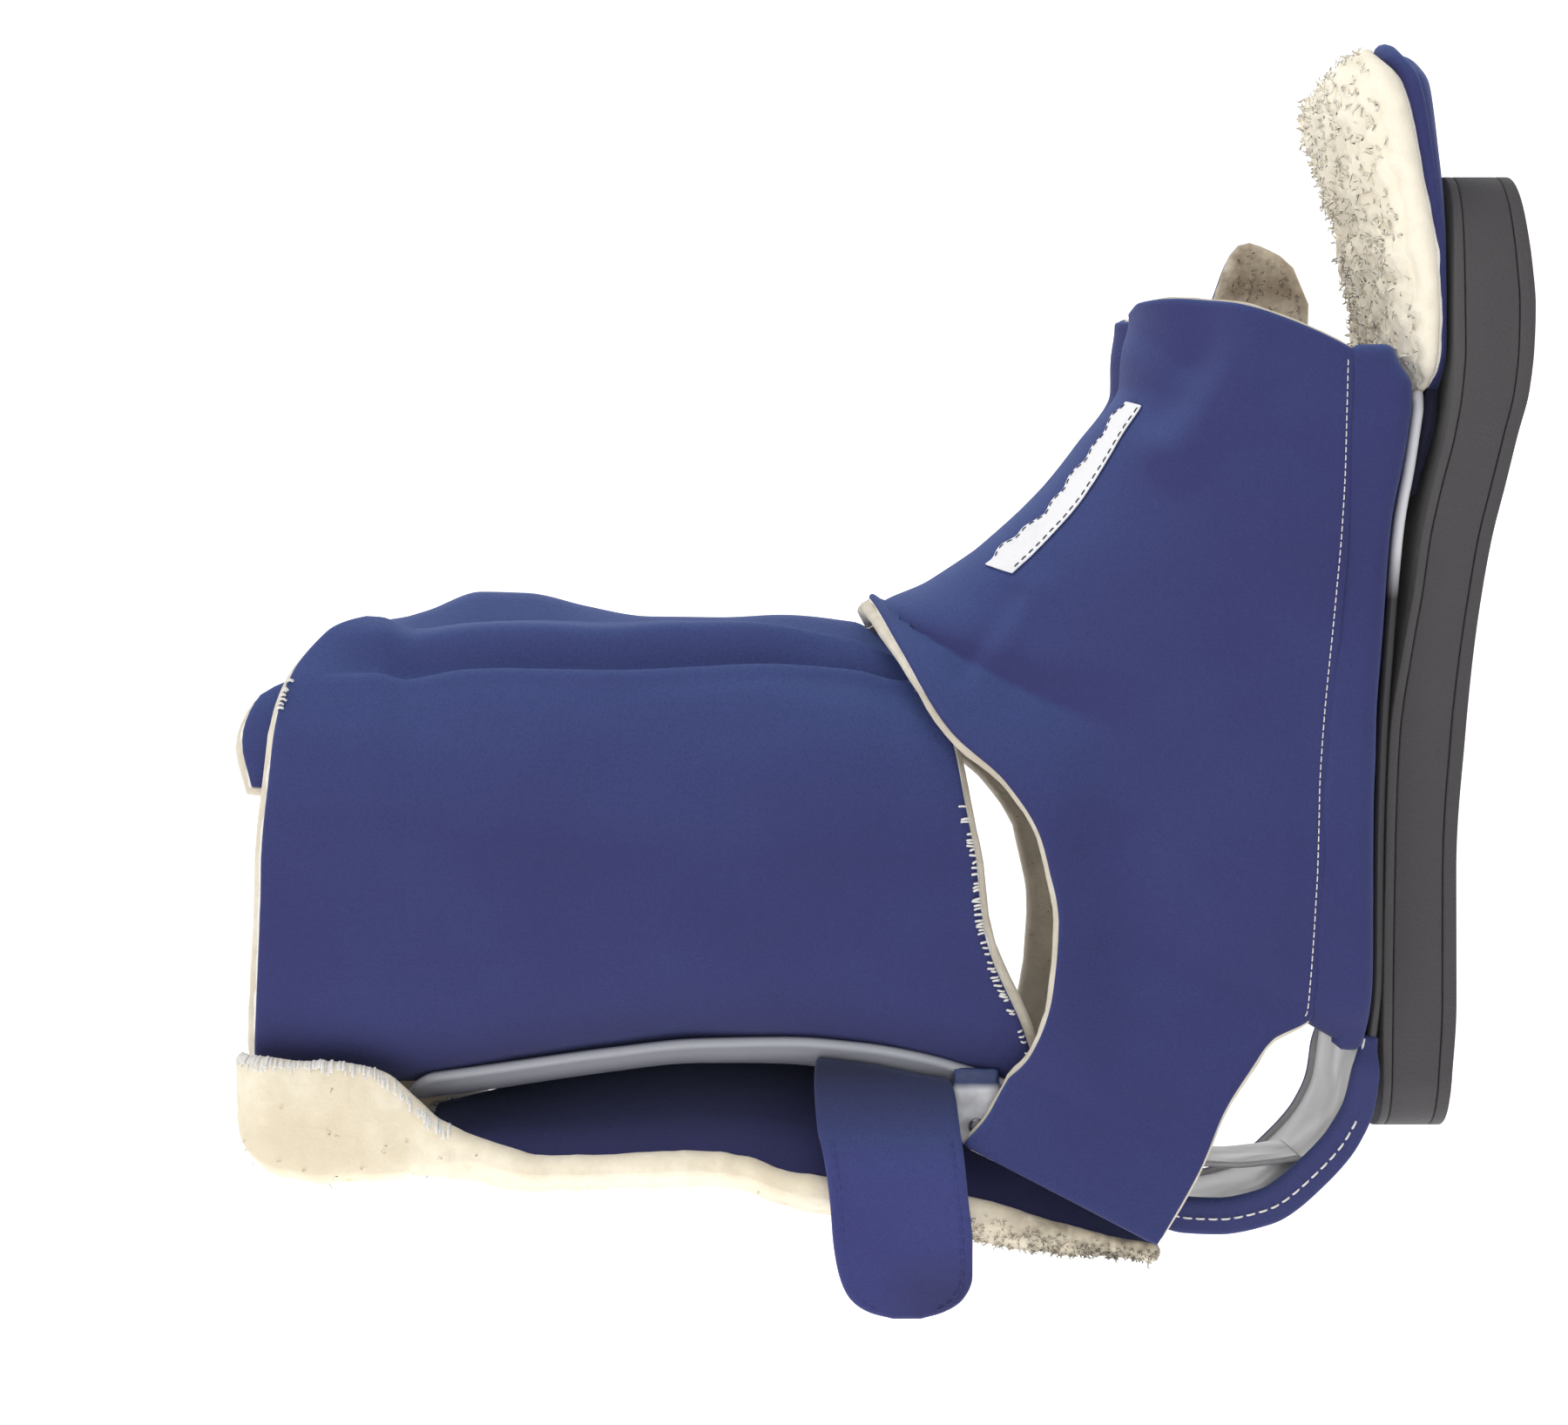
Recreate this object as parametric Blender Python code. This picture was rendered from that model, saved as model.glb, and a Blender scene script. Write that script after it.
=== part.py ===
"""Contracture boot, a padded ankle and foot brace: fabric and fleece wraps on a bowed plastic frame.

X runs from the leg's open end to the walking sole, Z up the foot to the toes, and Y across the boot,
with the hanging strap on the -Y side. The origin is the middle of the ankle. Sizes are in metres.

Side view tables hold shares: x is a share of LEG where it is negative and of FOOT where it is
positive, and z is a share of DROP or of RISE in the same way. Widths are shares of HALF.
"""

import math
from collections import namedtuple

import bpy

LEG = 0.256
FOOT = 0.068
RISE = 0.150
DROP = 0.098
HALF = 0.057
FABRIC = 0.0020
PILE = 0.0042
PLATE = 0.0032
GAP = 0.0003
SEAT = 0.0010
REST = 0.0017
EDGE = 0.0012
FOLD_PILE = 0.0065
SOLE_OVER = 0.0021
STRAP_THICK = 0.0024

STEP = FABRIC + PILE + GAP + 2.0 * SEAT
UNDER_STEP = STEP + 2.0 * SEAT

ROUND_OVER = 2.4
ROUND_UNDER = 4.2
ROUND_FOOT = 2.5

NAVY = (0.045, 0.048, 0.175)
NAVY_LINER = (0.028, 0.029, 0.110)
CREAM = (0.82, 0.75, 0.60)
WHITE = (0.80, 0.80, 0.82)
RUBBER = (0.070, 0.066, 0.070)
RUBBER_TOP = (0.095, 0.090, 0.092)
STEEL = (0.16, 0.16, 0.17)

LegRow = namedtuple("LegRow", "x near_top far_top half")
LEG_ROWS = [
    LegRow(-1.040, 0.520, 0.500, 0.965),
    LegRow(-0.940, 0.533, 0.500, 0.990),
    LegRow(-0.870, 0.528, 0.512, 1.000),
    LegRow(-0.830, 0.502, 0.530, 1.005),
    LegRow(-0.765, 0.517, 0.568, 1.010),
    LegRow(-0.710, 0.522, 0.566, 1.010),
    LegRow(-0.640, 0.524, 0.540, 1.005),
    LegRow(-0.560, 0.522, 0.520, 1.000),
    LegRow(-0.480, 0.514, 0.518, 0.985),
    LegRow(-0.400, 0.500, 0.525, 0.970),
    LegRow(-0.320, 0.478, 0.512, 0.950),
    LegRow(-0.270, 0.445, 0.462, 0.935),
    LegRow(-0.200, 0.430, 0.440, 0.915),
    LegRow(-0.150, 0.425, 0.430, 0.905),
    LegRow(-0.080, 0.420, 0.420, 0.895),
    LegRow(0.000, 0.420, 0.420, 0.890),
]

EndRow = namedtuple("EndRow", "turn start end")
LEG_ENDS = [
    EndRow(-252, -1.004, -0.245),
    EndRow(-240, -1.016, -0.245),
    EndRow(-226, -1.002, -0.245),
    EndRow(-214, -0.930, -0.245),
    EndRow(-198, -0.875, -0.245),
    EndRow(-180, -0.870, -0.245),
    EndRow(-160, -0.880, -0.242),
    EndRow(-120, -0.960, -0.212),
    EndRow(-90, -0.990, -0.186),
    EndRow(-45, -0.998, -0.116),
    EndRow(0, -1.000, -0.108),
    EndRow(45, -0.998, -0.116),
    EndRow(65, -0.994, -0.135),
    EndRow(90, -0.988, -0.186),
    EndRow(105, -0.980, -0.201),
    EndRow(120, -0.973, -0.212),
    EndRow(136, -0.957, -0.228),
    EndRow(150, -0.925, -0.240),
    EndRow(158, -0.885, -0.243),
]
FREE_TURN = 158
FAR_TURN = -252
UNDER_FROM = -168
UNDER_TO = -190
FLANK_MOST = 0.99
LEG_ROUNDS = 14
LEG_TURNS = 28

LegFold = namedtuple("LegFold", "turn depth spread")
LEG_FOLDS = [LegFold(141, 0.0012, 9.0), LegFold(156, -0.0008, 8.0)]

PathRow = namedtuple("PathRow", "x z half cup")
FRAME_ROWS = [
    PathRow(-0.826, -0.593, 0.640, 1.0),
    PathRow(-0.818, -0.592, 0.740, 1.0),
    PathRow(-0.800, -0.586, 0.790, 1.0),
    PathRow(-0.700, -0.548, 0.807, 1.0),
    PathRow(-0.600, -0.512, 0.807, 1.0),
    PathRow(-0.500, -0.485, 0.807, 1.0),
    PathRow(-0.400, -0.480, 0.807, 1.0),
    PathRow(-0.315, -0.497, 0.807, 1.0),
    PathRow(-0.253, -0.524, 0.800, 1.0),
    PathRow(-0.200, -0.562, 0.770, 1.0),
    PathRow(-0.175, -0.584, 0.762, 1.0),
    PathRow(-0.150, -0.610, 0.755, 1.0),
    PathRow(-0.125, -0.645, 0.750, 1.0),
    PathRow(-0.100, -0.685, 0.745, 1.0),
    PathRow(-0.050, -0.800, 0.740, 0.40),
    PathRow(-0.008, -0.910, 0.735, 0.0),
    PathRow(0.090, -0.978, 0.735, 0.0),
    PathRow(0.200, -1.008, 0.735, 0.0),
    PathRow(0.345, -1.012, 0.735, 0.0),
    PathRow(0.545, -0.984, 0.735, 0.0),
    PathRow(0.740, -0.882, 0.735, 0.0),
    PathRow(0.870, -0.775, 0.735, 0.0),
    PathRow(0.930, -0.680, 0.735, 0.0),
    PathRow(0.956, -0.560, 0.740, 0.0),
    PathRow(0.985, -0.440, 0.750, 0.0),
    PathRow(1.000, -0.300, 0.760, 0.0),
    PathRow(1.003, 0.000, 0.770, 0.0),
    PathRow(1.018, 0.247, 0.770, 0.0),
    PathRow(1.050, 0.460, 0.770, 0.0),
    PathRow(1.095, 0.680, 0.760, 0.0),
    PathRow(1.140, 0.790, 0.750, 0.0),
    PathRow(1.175, 0.890, 0.740, 0.0),
    PathRow(1.194, 0.935, 0.640, 0.0),
]
FRAME_FULL = -0.8
FRAME_ACROSS = [-1.0, -0.82, -0.60, -0.32, 0.0, 0.32, 0.60, 0.82, 1.0]
FOOTPLATE_FROM = 0.8

PanelRow = namedtuple("PanelRow", "right_x right_z left_x left_z bow half near_turn far_turn")
PANEL_ROWS = [
    PanelRow(0.912, 1.010, -0.006, 1.118, 0.0045, 0.900, 76, 126),
    PanelRow(0.905, 0.900, -0.011, 1.035, 0.0030, 0.915, 76, 128),
    PanelRow(0.897, 0.787, -0.012, 0.965, 0.0015, 0.925, 77, 130),
    PanelRow(0.882, 0.667, -0.052, 0.860, 0.0, 0.935, 77, 130),
    PanelRow(0.860, 0.547, -0.103, 0.752, 0.0, 0.945, 77, 128),
    PanelRow(0.838, 0.427, -0.165, 0.655, 0.0, 0.955, 78, 120),
    PanelRow(0.816, 0.307, -0.232, 0.575, 0.0, 0.965, 79, 100),
    PanelRow(0.800, 0.187, -0.298, 0.508, 0.0, 0.975, 79, 77),
    PanelRow(0.786, 0.080, -0.262, 0.368, 0.0, 0.985, 56, 56),
    PanelRow(0.772, -0.041, -0.212, 0.248, 0.0, 0.995, 36, 36),
    PanelRow(0.757, -0.184, -0.150, 0.160, 0.0, 0.990, 28, 28),
    PanelRow(0.742, -0.306, -0.108, 0.050, 0.0, 0.975, 22, 22),
    PanelRow(0.728, -0.406, -0.090, -0.120, 0.0, 0.950, 18, 18),
    PanelRow(0.560, -0.475, -0.097, -0.305, 0.0, 0.965, 16, 16),
    PanelRow(0.455, -0.572, -0.121, -0.490, 0.0, 0.985, 14, 14),
    PanelRow(0.352, -0.684, -0.152, -0.622, 0.0, 1.000, 12, 12),
    PanelRow(0.250, -0.850, -0.172, -0.714, 0.0, 1.010, 11, 11),
    PanelRow(0.070, -1.070, -0.196, -0.785, 0.0, 1.020, 10, 10),
]
PANEL_CUT = 2
FAR_PEAK = 0.034
FAR_PEAK_AT = 0.20
FAR_PEAK_SPREAD = 0.26
UNDER_START = 79.0
UNDER_RAMP = 16.0
PANEL_ROUNDS = 20
NEAR_COLUMNS = 9
FAR_COLUMNS = 11

CoverRow = namedtuple("CoverRow", "z seam half")
COVER_ROWS = [
    CoverRow(1.005, 0.912, 0.900),
    CoverRow(0.787, 0.897, 0.925),
    CoverRow(0.547, 0.860, 0.945),
    CoverRow(0.307, 0.816, 0.965),
    CoverRow(0.080, 0.786, 0.985),
    CoverRow(-0.041, 0.772, 0.995),
    CoverRow(-0.184, 0.757, 0.990),
    CoverRow(-0.306, 0.742, 0.975),
    CoverRow(-0.400, 0.730, 0.950),
    CoverRow(-0.455, 0.840, 0.900),
    CoverRow(-0.490, 0.905, 0.880),
]
COVER_WALL = 0.0060
COVER_BASE = 0.0060
COVER_CORNER = 0.3
COVER_INNER = 0.8
COVER_ROUNDS = 13
HEEL_WALL = 0.0044

HeelRow = namedtuple("HeelRow", "place near far")
HEEL_ROWS = [
    HeelRow(15, 0.0085, 0.0052),
    HeelRow(19, 0.0085, 0.0052),
    HeelRow(21, 0.0078, 0.0052),
    HeelRow(23, 0.0060, 0.0052),
]

FoldRow = namedtuple("FoldRow", "x middle corner lip half pile")
FOLD_ROWS = [
    FoldRow(-1.004, -0.690, -0.715, 0.165, 0.84, 0.80),
    FoldRow(-0.990, -0.735, -0.775, 0.215, 0.88, 1.0),
    FoldRow(-0.968, -0.770, -0.825, 0.260, 0.90, 1.0),
    FoldRow(-0.918, -0.805, -0.846, 0.275, 0.90, 1.0),
    FoldRow(-0.863, -0.800, -0.842, 0.245, 0.89, 1.0),
    FoldRow(-0.824, -0.765, -0.835, 0.160, 0.88, 1.0),
    FoldRow(-0.793, -0.742, -0.832, 0.085, 0.88, 1.0),
    FoldRow(-0.746, -0.712, -0.843, 0.045, 0.88, 1.0),
    FoldRow(-0.676, -0.680, -0.874, 0.024, 0.885, 1.0),
    FoldRow(-0.598, -0.647, -0.872, 0.024, 0.885, 1.0),
    FoldRow(-0.500, -0.620, -0.862, 0.024, 0.885, 1.0),
    FoldRow(-0.449, -0.617, -0.876, 0.024, 0.885, 1.0),
    FoldRow(-0.402, -0.615, -0.920, 0.024, 0.885, 1.0),
    FoldRow(-0.363, -0.627, -0.940, 0.024, 0.885, 1.1),
    FoldRow(-0.273, -0.682, -0.966, 0.024, 0.880, 1.2),
    FoldRow(-0.187, -0.745, -1.010, 0.024, 0.860, 1.2),
    FoldRow(-0.109, -0.865, -1.064, 0.022, 0.830, 0.9),
    FoldRow(-0.055, -0.945, -1.092, 0.020, 0.810, 0.6),
    FoldRow(0.000, -1.068, -1.112, 0.014, 0.790, 0.45),
    FoldRow(0.070, -1.090, -1.122, 0.014, 0.780, 0.40),
]
FOLD_LINER_FROM = 5
FOLD_ACROSS = [0.0, 0.30, 0.55, 0.78, 0.95, 1.0]
FOLD_SAG = 1.6

LipRow = namedtuple("LipRow", "aside up")
LIP_ROWS = [LipRow(0.06, 0.5), LipRow(0.10, 1.0)]
LIP_CROP = 3

StrapRow = namedtuple("StrapRow", "z left right out")
STRAP_ROWS = [
    StrapRow(-0.600, -0.362, -0.222, 0.740),
    StrapRow(-0.695, -0.364, -0.214, 0.890),
    StrapRow(-0.745, -0.361, -0.210, 0.985),
    StrapRow(-0.815, -0.354, -0.206, 1.050),
    StrapRow(-0.940, -0.347, -0.201, 1.065),
    StrapRow(-1.068, -0.343, -0.196, 1.055),
    StrapRow(-1.165, -0.336, -0.196, 1.045),
    StrapRow(-1.225, -0.325, -0.205, 1.040),
    StrapRow(-1.262, -0.305, -0.226, 1.036),
    StrapRow(-1.280, -0.280, -0.250, 1.034),
]

STRAP_ROOT = 1.6
STRAP_DROP = 0.0025
STRAP_ROUNDS = 13
STRAP_COLUMNS = 4

ToeRow = namedtuple("ToeRow", "z front middle back half")
TOE_ROWS = [
    ToeRow(1.612, 1.010, 1.060, 1.150, 0.420),
    ToeRow(1.600, 0.930, 1.025, 1.215, 0.600),
    ToeRow(1.578, 0.880, 1.045, 1.255, 0.700),
    ToeRow(1.545, 0.852, 1.110, 1.285, 0.760),
    ToeRow(1.495, 0.866, 1.150, 1.296, 0.790),
    ToeRow(1.427, 0.919, 1.182, 1.310, 0.800),
    ToeRow(1.359, 0.960, 1.208, 1.325, 0.800),
    ToeRow(1.291, 1.015, 1.240, 1.332, 0.800),
    ToeRow(1.224, 1.030, 1.268, 1.337, 0.795),
    ToeRow(1.150, 1.065, 1.285, 1.337, 0.785),
    ToeRow(1.080, 1.092, 1.292, 1.337, 0.770),
    ToeRow(1.021, 1.105, 1.290, 1.337, 0.750),
    ToeRow(0.985, 1.140, 1.282, 1.332, 0.710),
    ToeRow(0.955, 1.185, 1.262, 1.322, 0.640),
]
TOE_ROUND = 4.0
TOE_EDGE = 0.06
TOE_ACROSS = [-1.0, -0.93, -0.78, -0.45, 0.0, 0.45, 0.78, 0.93, 1.0]

TongueRow = namedtuple("TongueRow", "z front back")
TONGUE_ROWS = [
    TongueRow(0.945, 1.268, 1.306),
    TongueRow(0.900, 1.246, 1.300),
    TongueRow(0.855, 1.228, 1.284),
    TongueRow(0.790, 1.204, 1.240),
    TongueRow(0.745, 1.182, 1.214),
]
TONGUE_HALF = 0.60
TONGUE_ROUNDS = 7

SoleRow = namedtuple("SoleRow", "z front back half")
SOLE_ROWS = [
    SoleRow(1.372, 1.352, 1.625, 0.40),
    SoleRow(1.364, 1.350, 1.634, 0.60),
    SoleRow(1.345, 1.349, 1.640, 0.76),
    SoleRow(1.310, 1.348, 1.650, 0.88),
    SoleRow(1.260, 1.347, 1.662, 0.96),
    SoleRow(1.187, 1.345, 1.680, 1.00),
    SoleRow(1.103, 1.345, 1.694, 1.01),
    SoleRow(1.019, 1.347, 1.687, 1.02),
    SoleRow(0.934, 1.334, 1.665, 1.02),
    SoleRow(0.850, 1.306, 1.617, 1.01),
    SoleRow(0.752, 1.252, 1.566, 0.99),
    SoleRow(0.653, 1.207, 1.513, 0.97),
    SoleRow(0.548, 1.177, 1.473, 0.95),
    SoleRow(0.435, 1.134, 1.440, 0.93),
    SoleRow(0.256, 1.077, 1.402, 0.92),
    SoleRow(0.006, 1.060, 1.366, 0.92),
    SoleRow(-0.378, 1.050, 1.366, 0.93),
    SoleRow(-0.600, 1.049, 1.347, 0.93),
    SoleRow(-0.680, 1.049, 1.341, 0.88),
    SoleRow(-0.730, 1.049, 1.337, 0.78),
    SoleRow(-0.755, 1.049, 1.334, 0.64),
    SoleRow(-0.765, 1.049, 1.333, 0.45),
]
SOLE_LAYERS = [
    ("sole_top", 0.0, 0.13, RUBBER_TOP),
    ("sole_middle", 0.13, 0.80, RUBBER),
    ("sole_tread", 0.80, 1.0, RUBBER),
]

LABEL_ROWS = (2.35, 5.45)
LABEL_ACROSS = (0.64, 0.82)
LABEL_THICK = 0.0006
LABEL_LIFT = 0.0012
LABEL_ROUNDS = 11
LABEL_COLUMNS = 4

StripRow = namedtuple("StripRow", "x z")
HEEL_STRIP_ROWS = [
    StripRow(0.080, -0.953),
    StripRow(0.200, -0.905),
    StripRow(0.330, -0.882),
    StripRow(0.460, -0.886),
    StripRow(0.600, -0.878),
    StripRow(0.735, -0.864),
]
HEEL_STRIP_HALF = 0.36
HEEL_STRIP_THICK = 0.0016
HEEL_STRIP_ROUNDS = 9

CLIP_LEFT = -0.205
CLIP_RIGHT = -0.163
CLIP_TOP = -0.585
CLIP_LOW = -0.800
CLIP_THICK = 0.0022
CLIP_ROUNDS = 6
RIVET_R = 0.0024
RIVET_HEIGHT = 0.0012
RIVET_SIDES = 16


def side(x_share, z_share):
    """The side view's point in metres, from its shares of the four side sizes."""
    x = x_share * (LEG if x_share < 0 else FOOT)
    z = z_share * (DROP if z_share < 0 else RISE)
    return x, z


def x_share_of(x):
    return x / (LEG if x < 0 else FOOT)


def ease(t):
    """0 to 1 with level ends."""
    t = min(1.0, max(0.0, t))
    return t * t * (3.0 - 2.0 * t)


def slopes(keys, values):
    """Slopes for a smooth curve through the values that never overshoots them."""
    steps = [(values[i + 1] - values[i]) / (keys[i + 1] - keys[i]) for i in range(len(keys) - 1)]
    found = [steps[0]]
    for before, after in zip(steps, steps[1:]):
        found.append(0.0 if before * after <= 0 else 2.0 * before * after / (before + after))
    found.append(steps[-1])
    return found


def read(rows, key, value, at):
    """The value of a table column at a key, on a smooth curve. Keys may rise or fall."""
    keys = [getattr(row, key) for row in rows]
    values = [getattr(row, value) for row in rows]
    if keys[0] > keys[-1]:
        keys.reverse()
        values.reverse()
    return along(keys, values, at)


def along(keys, values, at):
    at = min(keys[-1], max(keys[0], at))
    i = 0
    while i < len(keys) - 2 and at > keys[i + 1]:
        i += 1
    slope = slopes(keys, values)
    span = keys[i + 1] - keys[i]
    t = (at - keys[i]) / span
    t2 = t * t
    t3 = t2 * t
    return (
        values[i] * (2.0 * t3 - 3.0 * t2 + 1.0)
        + slope[i] * span * (t3 - 2.0 * t2 + t)
        + values[i + 1] * (3.0 * t2 - 2.0 * t3)
        + slope[i + 1] * span * (t3 - t2)
    )


def row_at(rows, column, place):
    """A column's value at a fractional row number."""
    return along(list(range(len(rows))), [getattr(row, column) for row in rows], place)


def spread(first, last, count):
    return [first + (last - first) * i / (count - 1) for i in range(count)]


def sub(a, b):
    return (a[0] - b[0], a[1] - b[1], a[2] - b[2])


def cross(a, b):
    return (
        a[1] * b[2] - a[2] * b[1],
        a[2] * b[0] - a[0] * b[2],
        a[0] * b[1] - a[1] * b[0],
    )


def shifted(point, direction, distance):
    length = math.sqrt(sum(part * part for part in direction)) or 1.0
    return tuple(point[i] + direction[i] / length * distance for i in range(3))


def offset_grid(grid, distance):
    """The grid moved along its own normals. A positive distance is on the side of rows x columns."""
    moved = []
    for i, row in enumerate(grid):
        up = grid[max(0, i - 1)]
        down = grid[min(len(grid) - 1, i + 1)]
        line = []
        for j, point in enumerate(row):
            ahead = row[min(len(row) - 1, j + 1)]
            behind = row[max(0, j - 1)]
            normal = cross(sub(down[j], up[j]), sub(ahead, behind))
            line.append(shifted(point, normal, distance))
        moved.append(line)
    return moved


def material(name, colour, rough, metallic=0.0):
    made = bpy.data.materials.new(name)
    made.use_nodes = True
    shader = made.node_tree.nodes["Principled BSDF"]
    shader.inputs["Base Color"].default_value = (*colour, 1.0)
    shader.inputs["Roughness"].default_value = rough
    shader.inputs["Metallic"].default_value = metallic
    made.diffuse_color = (*colour, 1.0)
    return made


def solid(name, points, faces, paint, smooth=True):
    mesh = bpy.data.meshes.new(name)
    mesh.from_pydata(points, [], faces)
    mesh.validate()
    mesh.materials.append(paint)
    mesh.polygons.foreach_set("use_smooth", [smooth] * len(mesh.polygons))
    made = bpy.data.objects.new(name, mesh)
    bpy.context.scene.collection.objects.link(made)
    signed = 0.0
    for polygon in mesh.polygons:
        corners = [mesh.vertices[k].co for k in polygon.vertices]
        for second, third in zip(corners[1:], corners[2:]):
            signed += corners[0].dot(second.cross(third))
    if signed < 0:
        mesh.flip_normals()
    return made


def slab(name, inner, outer, paint, smooth=True):
    """A closed body between two grids of points, joined along their four edges."""
    rows = len(inner)
    columns = len(inner[0])
    points = [point for grid in (inner, outer) for row in grid for point in row]
    under = rows * columns

    def at(i, j):
        return i * columns + j

    faces = []
    for i in range(rows - 1):
        for j in range(columns - 1):
            for corners in (
                [at(i, j), at(i, j + 1), at(i + 1, j + 1)],
                [at(i, j), at(i + 1, j + 1), at(i + 1, j)],
            ):
                faces.append(corners)
                faces.append([under + k for k in reversed(corners)])
    rim = [at(0, j) for j in range(columns)]
    rim += [at(i, columns - 1) for i in range(1, rows)]
    rim += [at(rows - 1, j) for j in range(columns - 2, -1, -1)]
    rim += [at(i, 0) for i in range(rows - 2, 0, -1)]
    for first, second in zip(rim, rim[1:] + rim[:1]):
        faces.append([second, first, under + first, under + second])
    return solid(name, points, faces, paint, smooth)


def leg_share(x, column):
    return read(LEG_ROWS, "x", column, x_share_of(x))


def flank(x, y):
    """The leg wrap's depth below the axis at a distance across, as a share of its middle depth."""
    share = min(FLANK_MOST, abs(y) / (leg_share(x, "half") * HALF))
    return (1.0 - share**ROUND_UNDER) ** (1.0 / ROUND_UNDER)


def leg_under(x):
    """The leg wrap's depth below the axis, such that it rests on the frame's two edges."""
    edge = -read(FRAME_ROWS, "x", "z", x_share_of(x)) * DROP - REST
    half = read(FRAME_ROWS, "x", "half", max(FRAME_FULL, x_share_of(x))) * HALF
    return edge / flank(x, half)


def leg_point(x, turn, out):
    """A point of the leg wrap. Turn is in degrees from the bottom, positive up the near side."""
    angle = math.radians(turn)
    hidden = ease((UNDER_FROM - turn) / (UNDER_FROM - UNDER_TO))
    near_top = leg_share(x, "near_top")
    far_top = leg_share(x, "far_top")
    lean = 1.0 if turn > 0 else hidden
    top = (far_top + (near_top - far_top) * lean) * RISE
    raised = -math.cos(angle)
    aside = -math.sin(angle)
    out = out - STEP * hidden
    seen = turn + 360.0 if hidden > 0 else turn
    for fold in LEG_FOLDS:
        out -= fold.depth * math.exp(-(((seen - fold.turn) / fold.spread) ** 2))
    half = leg_share(x, "half") * HALF + out
    tall = (top if raised > 0 else leg_under(x)) + out
    power = 2.0 / (ROUND_OVER if raised > 0 else ROUND_UNDER)
    y = math.copysign(abs(aside) ** power, aside) * half
    z = math.copysign(abs(raised) ** power, raised) * tall
    return x, y, z


def leg_grid(out, beyond):
    turns = spread(FAR_TURN, FREE_TURN, LEG_TURNS)
    places = [(place, 0.0) for place in spread(0.0, 1.0, LEG_ROUNDS)]
    if beyond:
        places = [(0.0, -beyond)] + places + [(1.0, beyond)]
    grid = []
    for place, extra in places:
        line = []
        for turn in turns:
            start = read(LEG_ENDS, "turn", "start", turn) * LEG
            end = read(LEG_ENDS, "turn", "end", turn) * LEG
            line.append(leg_point(start + (end - start) * place + extra, turn, out))
        grid.append(line)
    return grid


def frame_lines(first, last, drop_middle):
    """Stations of the frame: inner middle point, outward direction, half width and cup."""
    found = []
    for place in spread(first, last, last - first + 1):
        x, z = side(row_at(FRAME_ROWS, "x", place), row_at(FRAME_ROWS, "z", place))
        half = row_at(FRAME_ROWS, "half", place) * HALF
        cup = row_at(FRAME_ROWS, "cup", place) * drop_middle
        found.append([x, z, half, cup])
    stations = []
    for i, (x, z, half, cup) in enumerate(found):
        before = found[max(0, i - 1)]
        after = found[min(len(found) - 1, i + 1)]
        length = math.hypot(after[0] - before[0], after[1] - before[1])
        outward = ((after[1] - before[1]) / length, -(after[0] - before[0]) / length)
        stations.append((x, z, half, cup, outward))
    return stations


def frame_grid(out):
    grid = []
    for x, z, half, cup, outward in frame_lines(0, len(FRAME_ROWS) - 1, 1.0):
        line = []
        for share in FRAME_ACROSS:
            y = share * half
            cupped = -leg_under(x) * flank(x, y) - REST
            level = z + (cupped - z) * cup
            line.append((x + outward[0] * out, y, level + outward[1] * out))
        grid.append(line)
    return grid


def make_frame(paint):
    slab("frame", frame_grid(0.0), frame_grid(PLATE), paint)


def make_leg(navy, cream):
    outer = leg_grid(0.0, 0.0)
    slab("leg_wrap", leg_grid(-FABRIC, 0.0), outer, navy)
    pile_top = leg_grid(-FABRIC - GAP, EDGE)
    slab("leg_lining", leg_grid(-FABRIC - GAP - PILE, EDGE), pile_top, cream)


def clear_of_leg(point, clearance):
    """Moves a point out of the leg wrap, so that what is wound over it lies on it."""
    x, y, z = point
    if x > 0:
        return point
    half = leg_share(x, "half") * HALF + clearance
    top = max(leg_share(x, "near_top"), leg_share(x, "far_top")) * RISE
    tall = (top if z > 0 else leg_under(x)) + clearance
    power = ROUND_OVER if z > 0 else ROUND_UNDER
    depth = ((abs(y) / half) ** power + (abs(z) / tall) ** power) ** (1.0 / power)
    if depth >= 1.0:
        return point
    return x, y / depth, z / depth


def crest_inward(place):
    """The direction into the foot, square to the instep's line in the side view."""
    ends = []
    for near in (place - 0.5, place + 0.5):
        ends.append(side(row_at(PANEL_ROWS, "left_x", near), row_at(PANEL_ROWS, "left_z", near)))
    run_x = ends[1][0] - ends[0][0]
    run_z = ends[1][1] - ends[0][1]
    length = math.hypot(run_x, run_z)
    return -run_z / length, run_x / length


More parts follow.
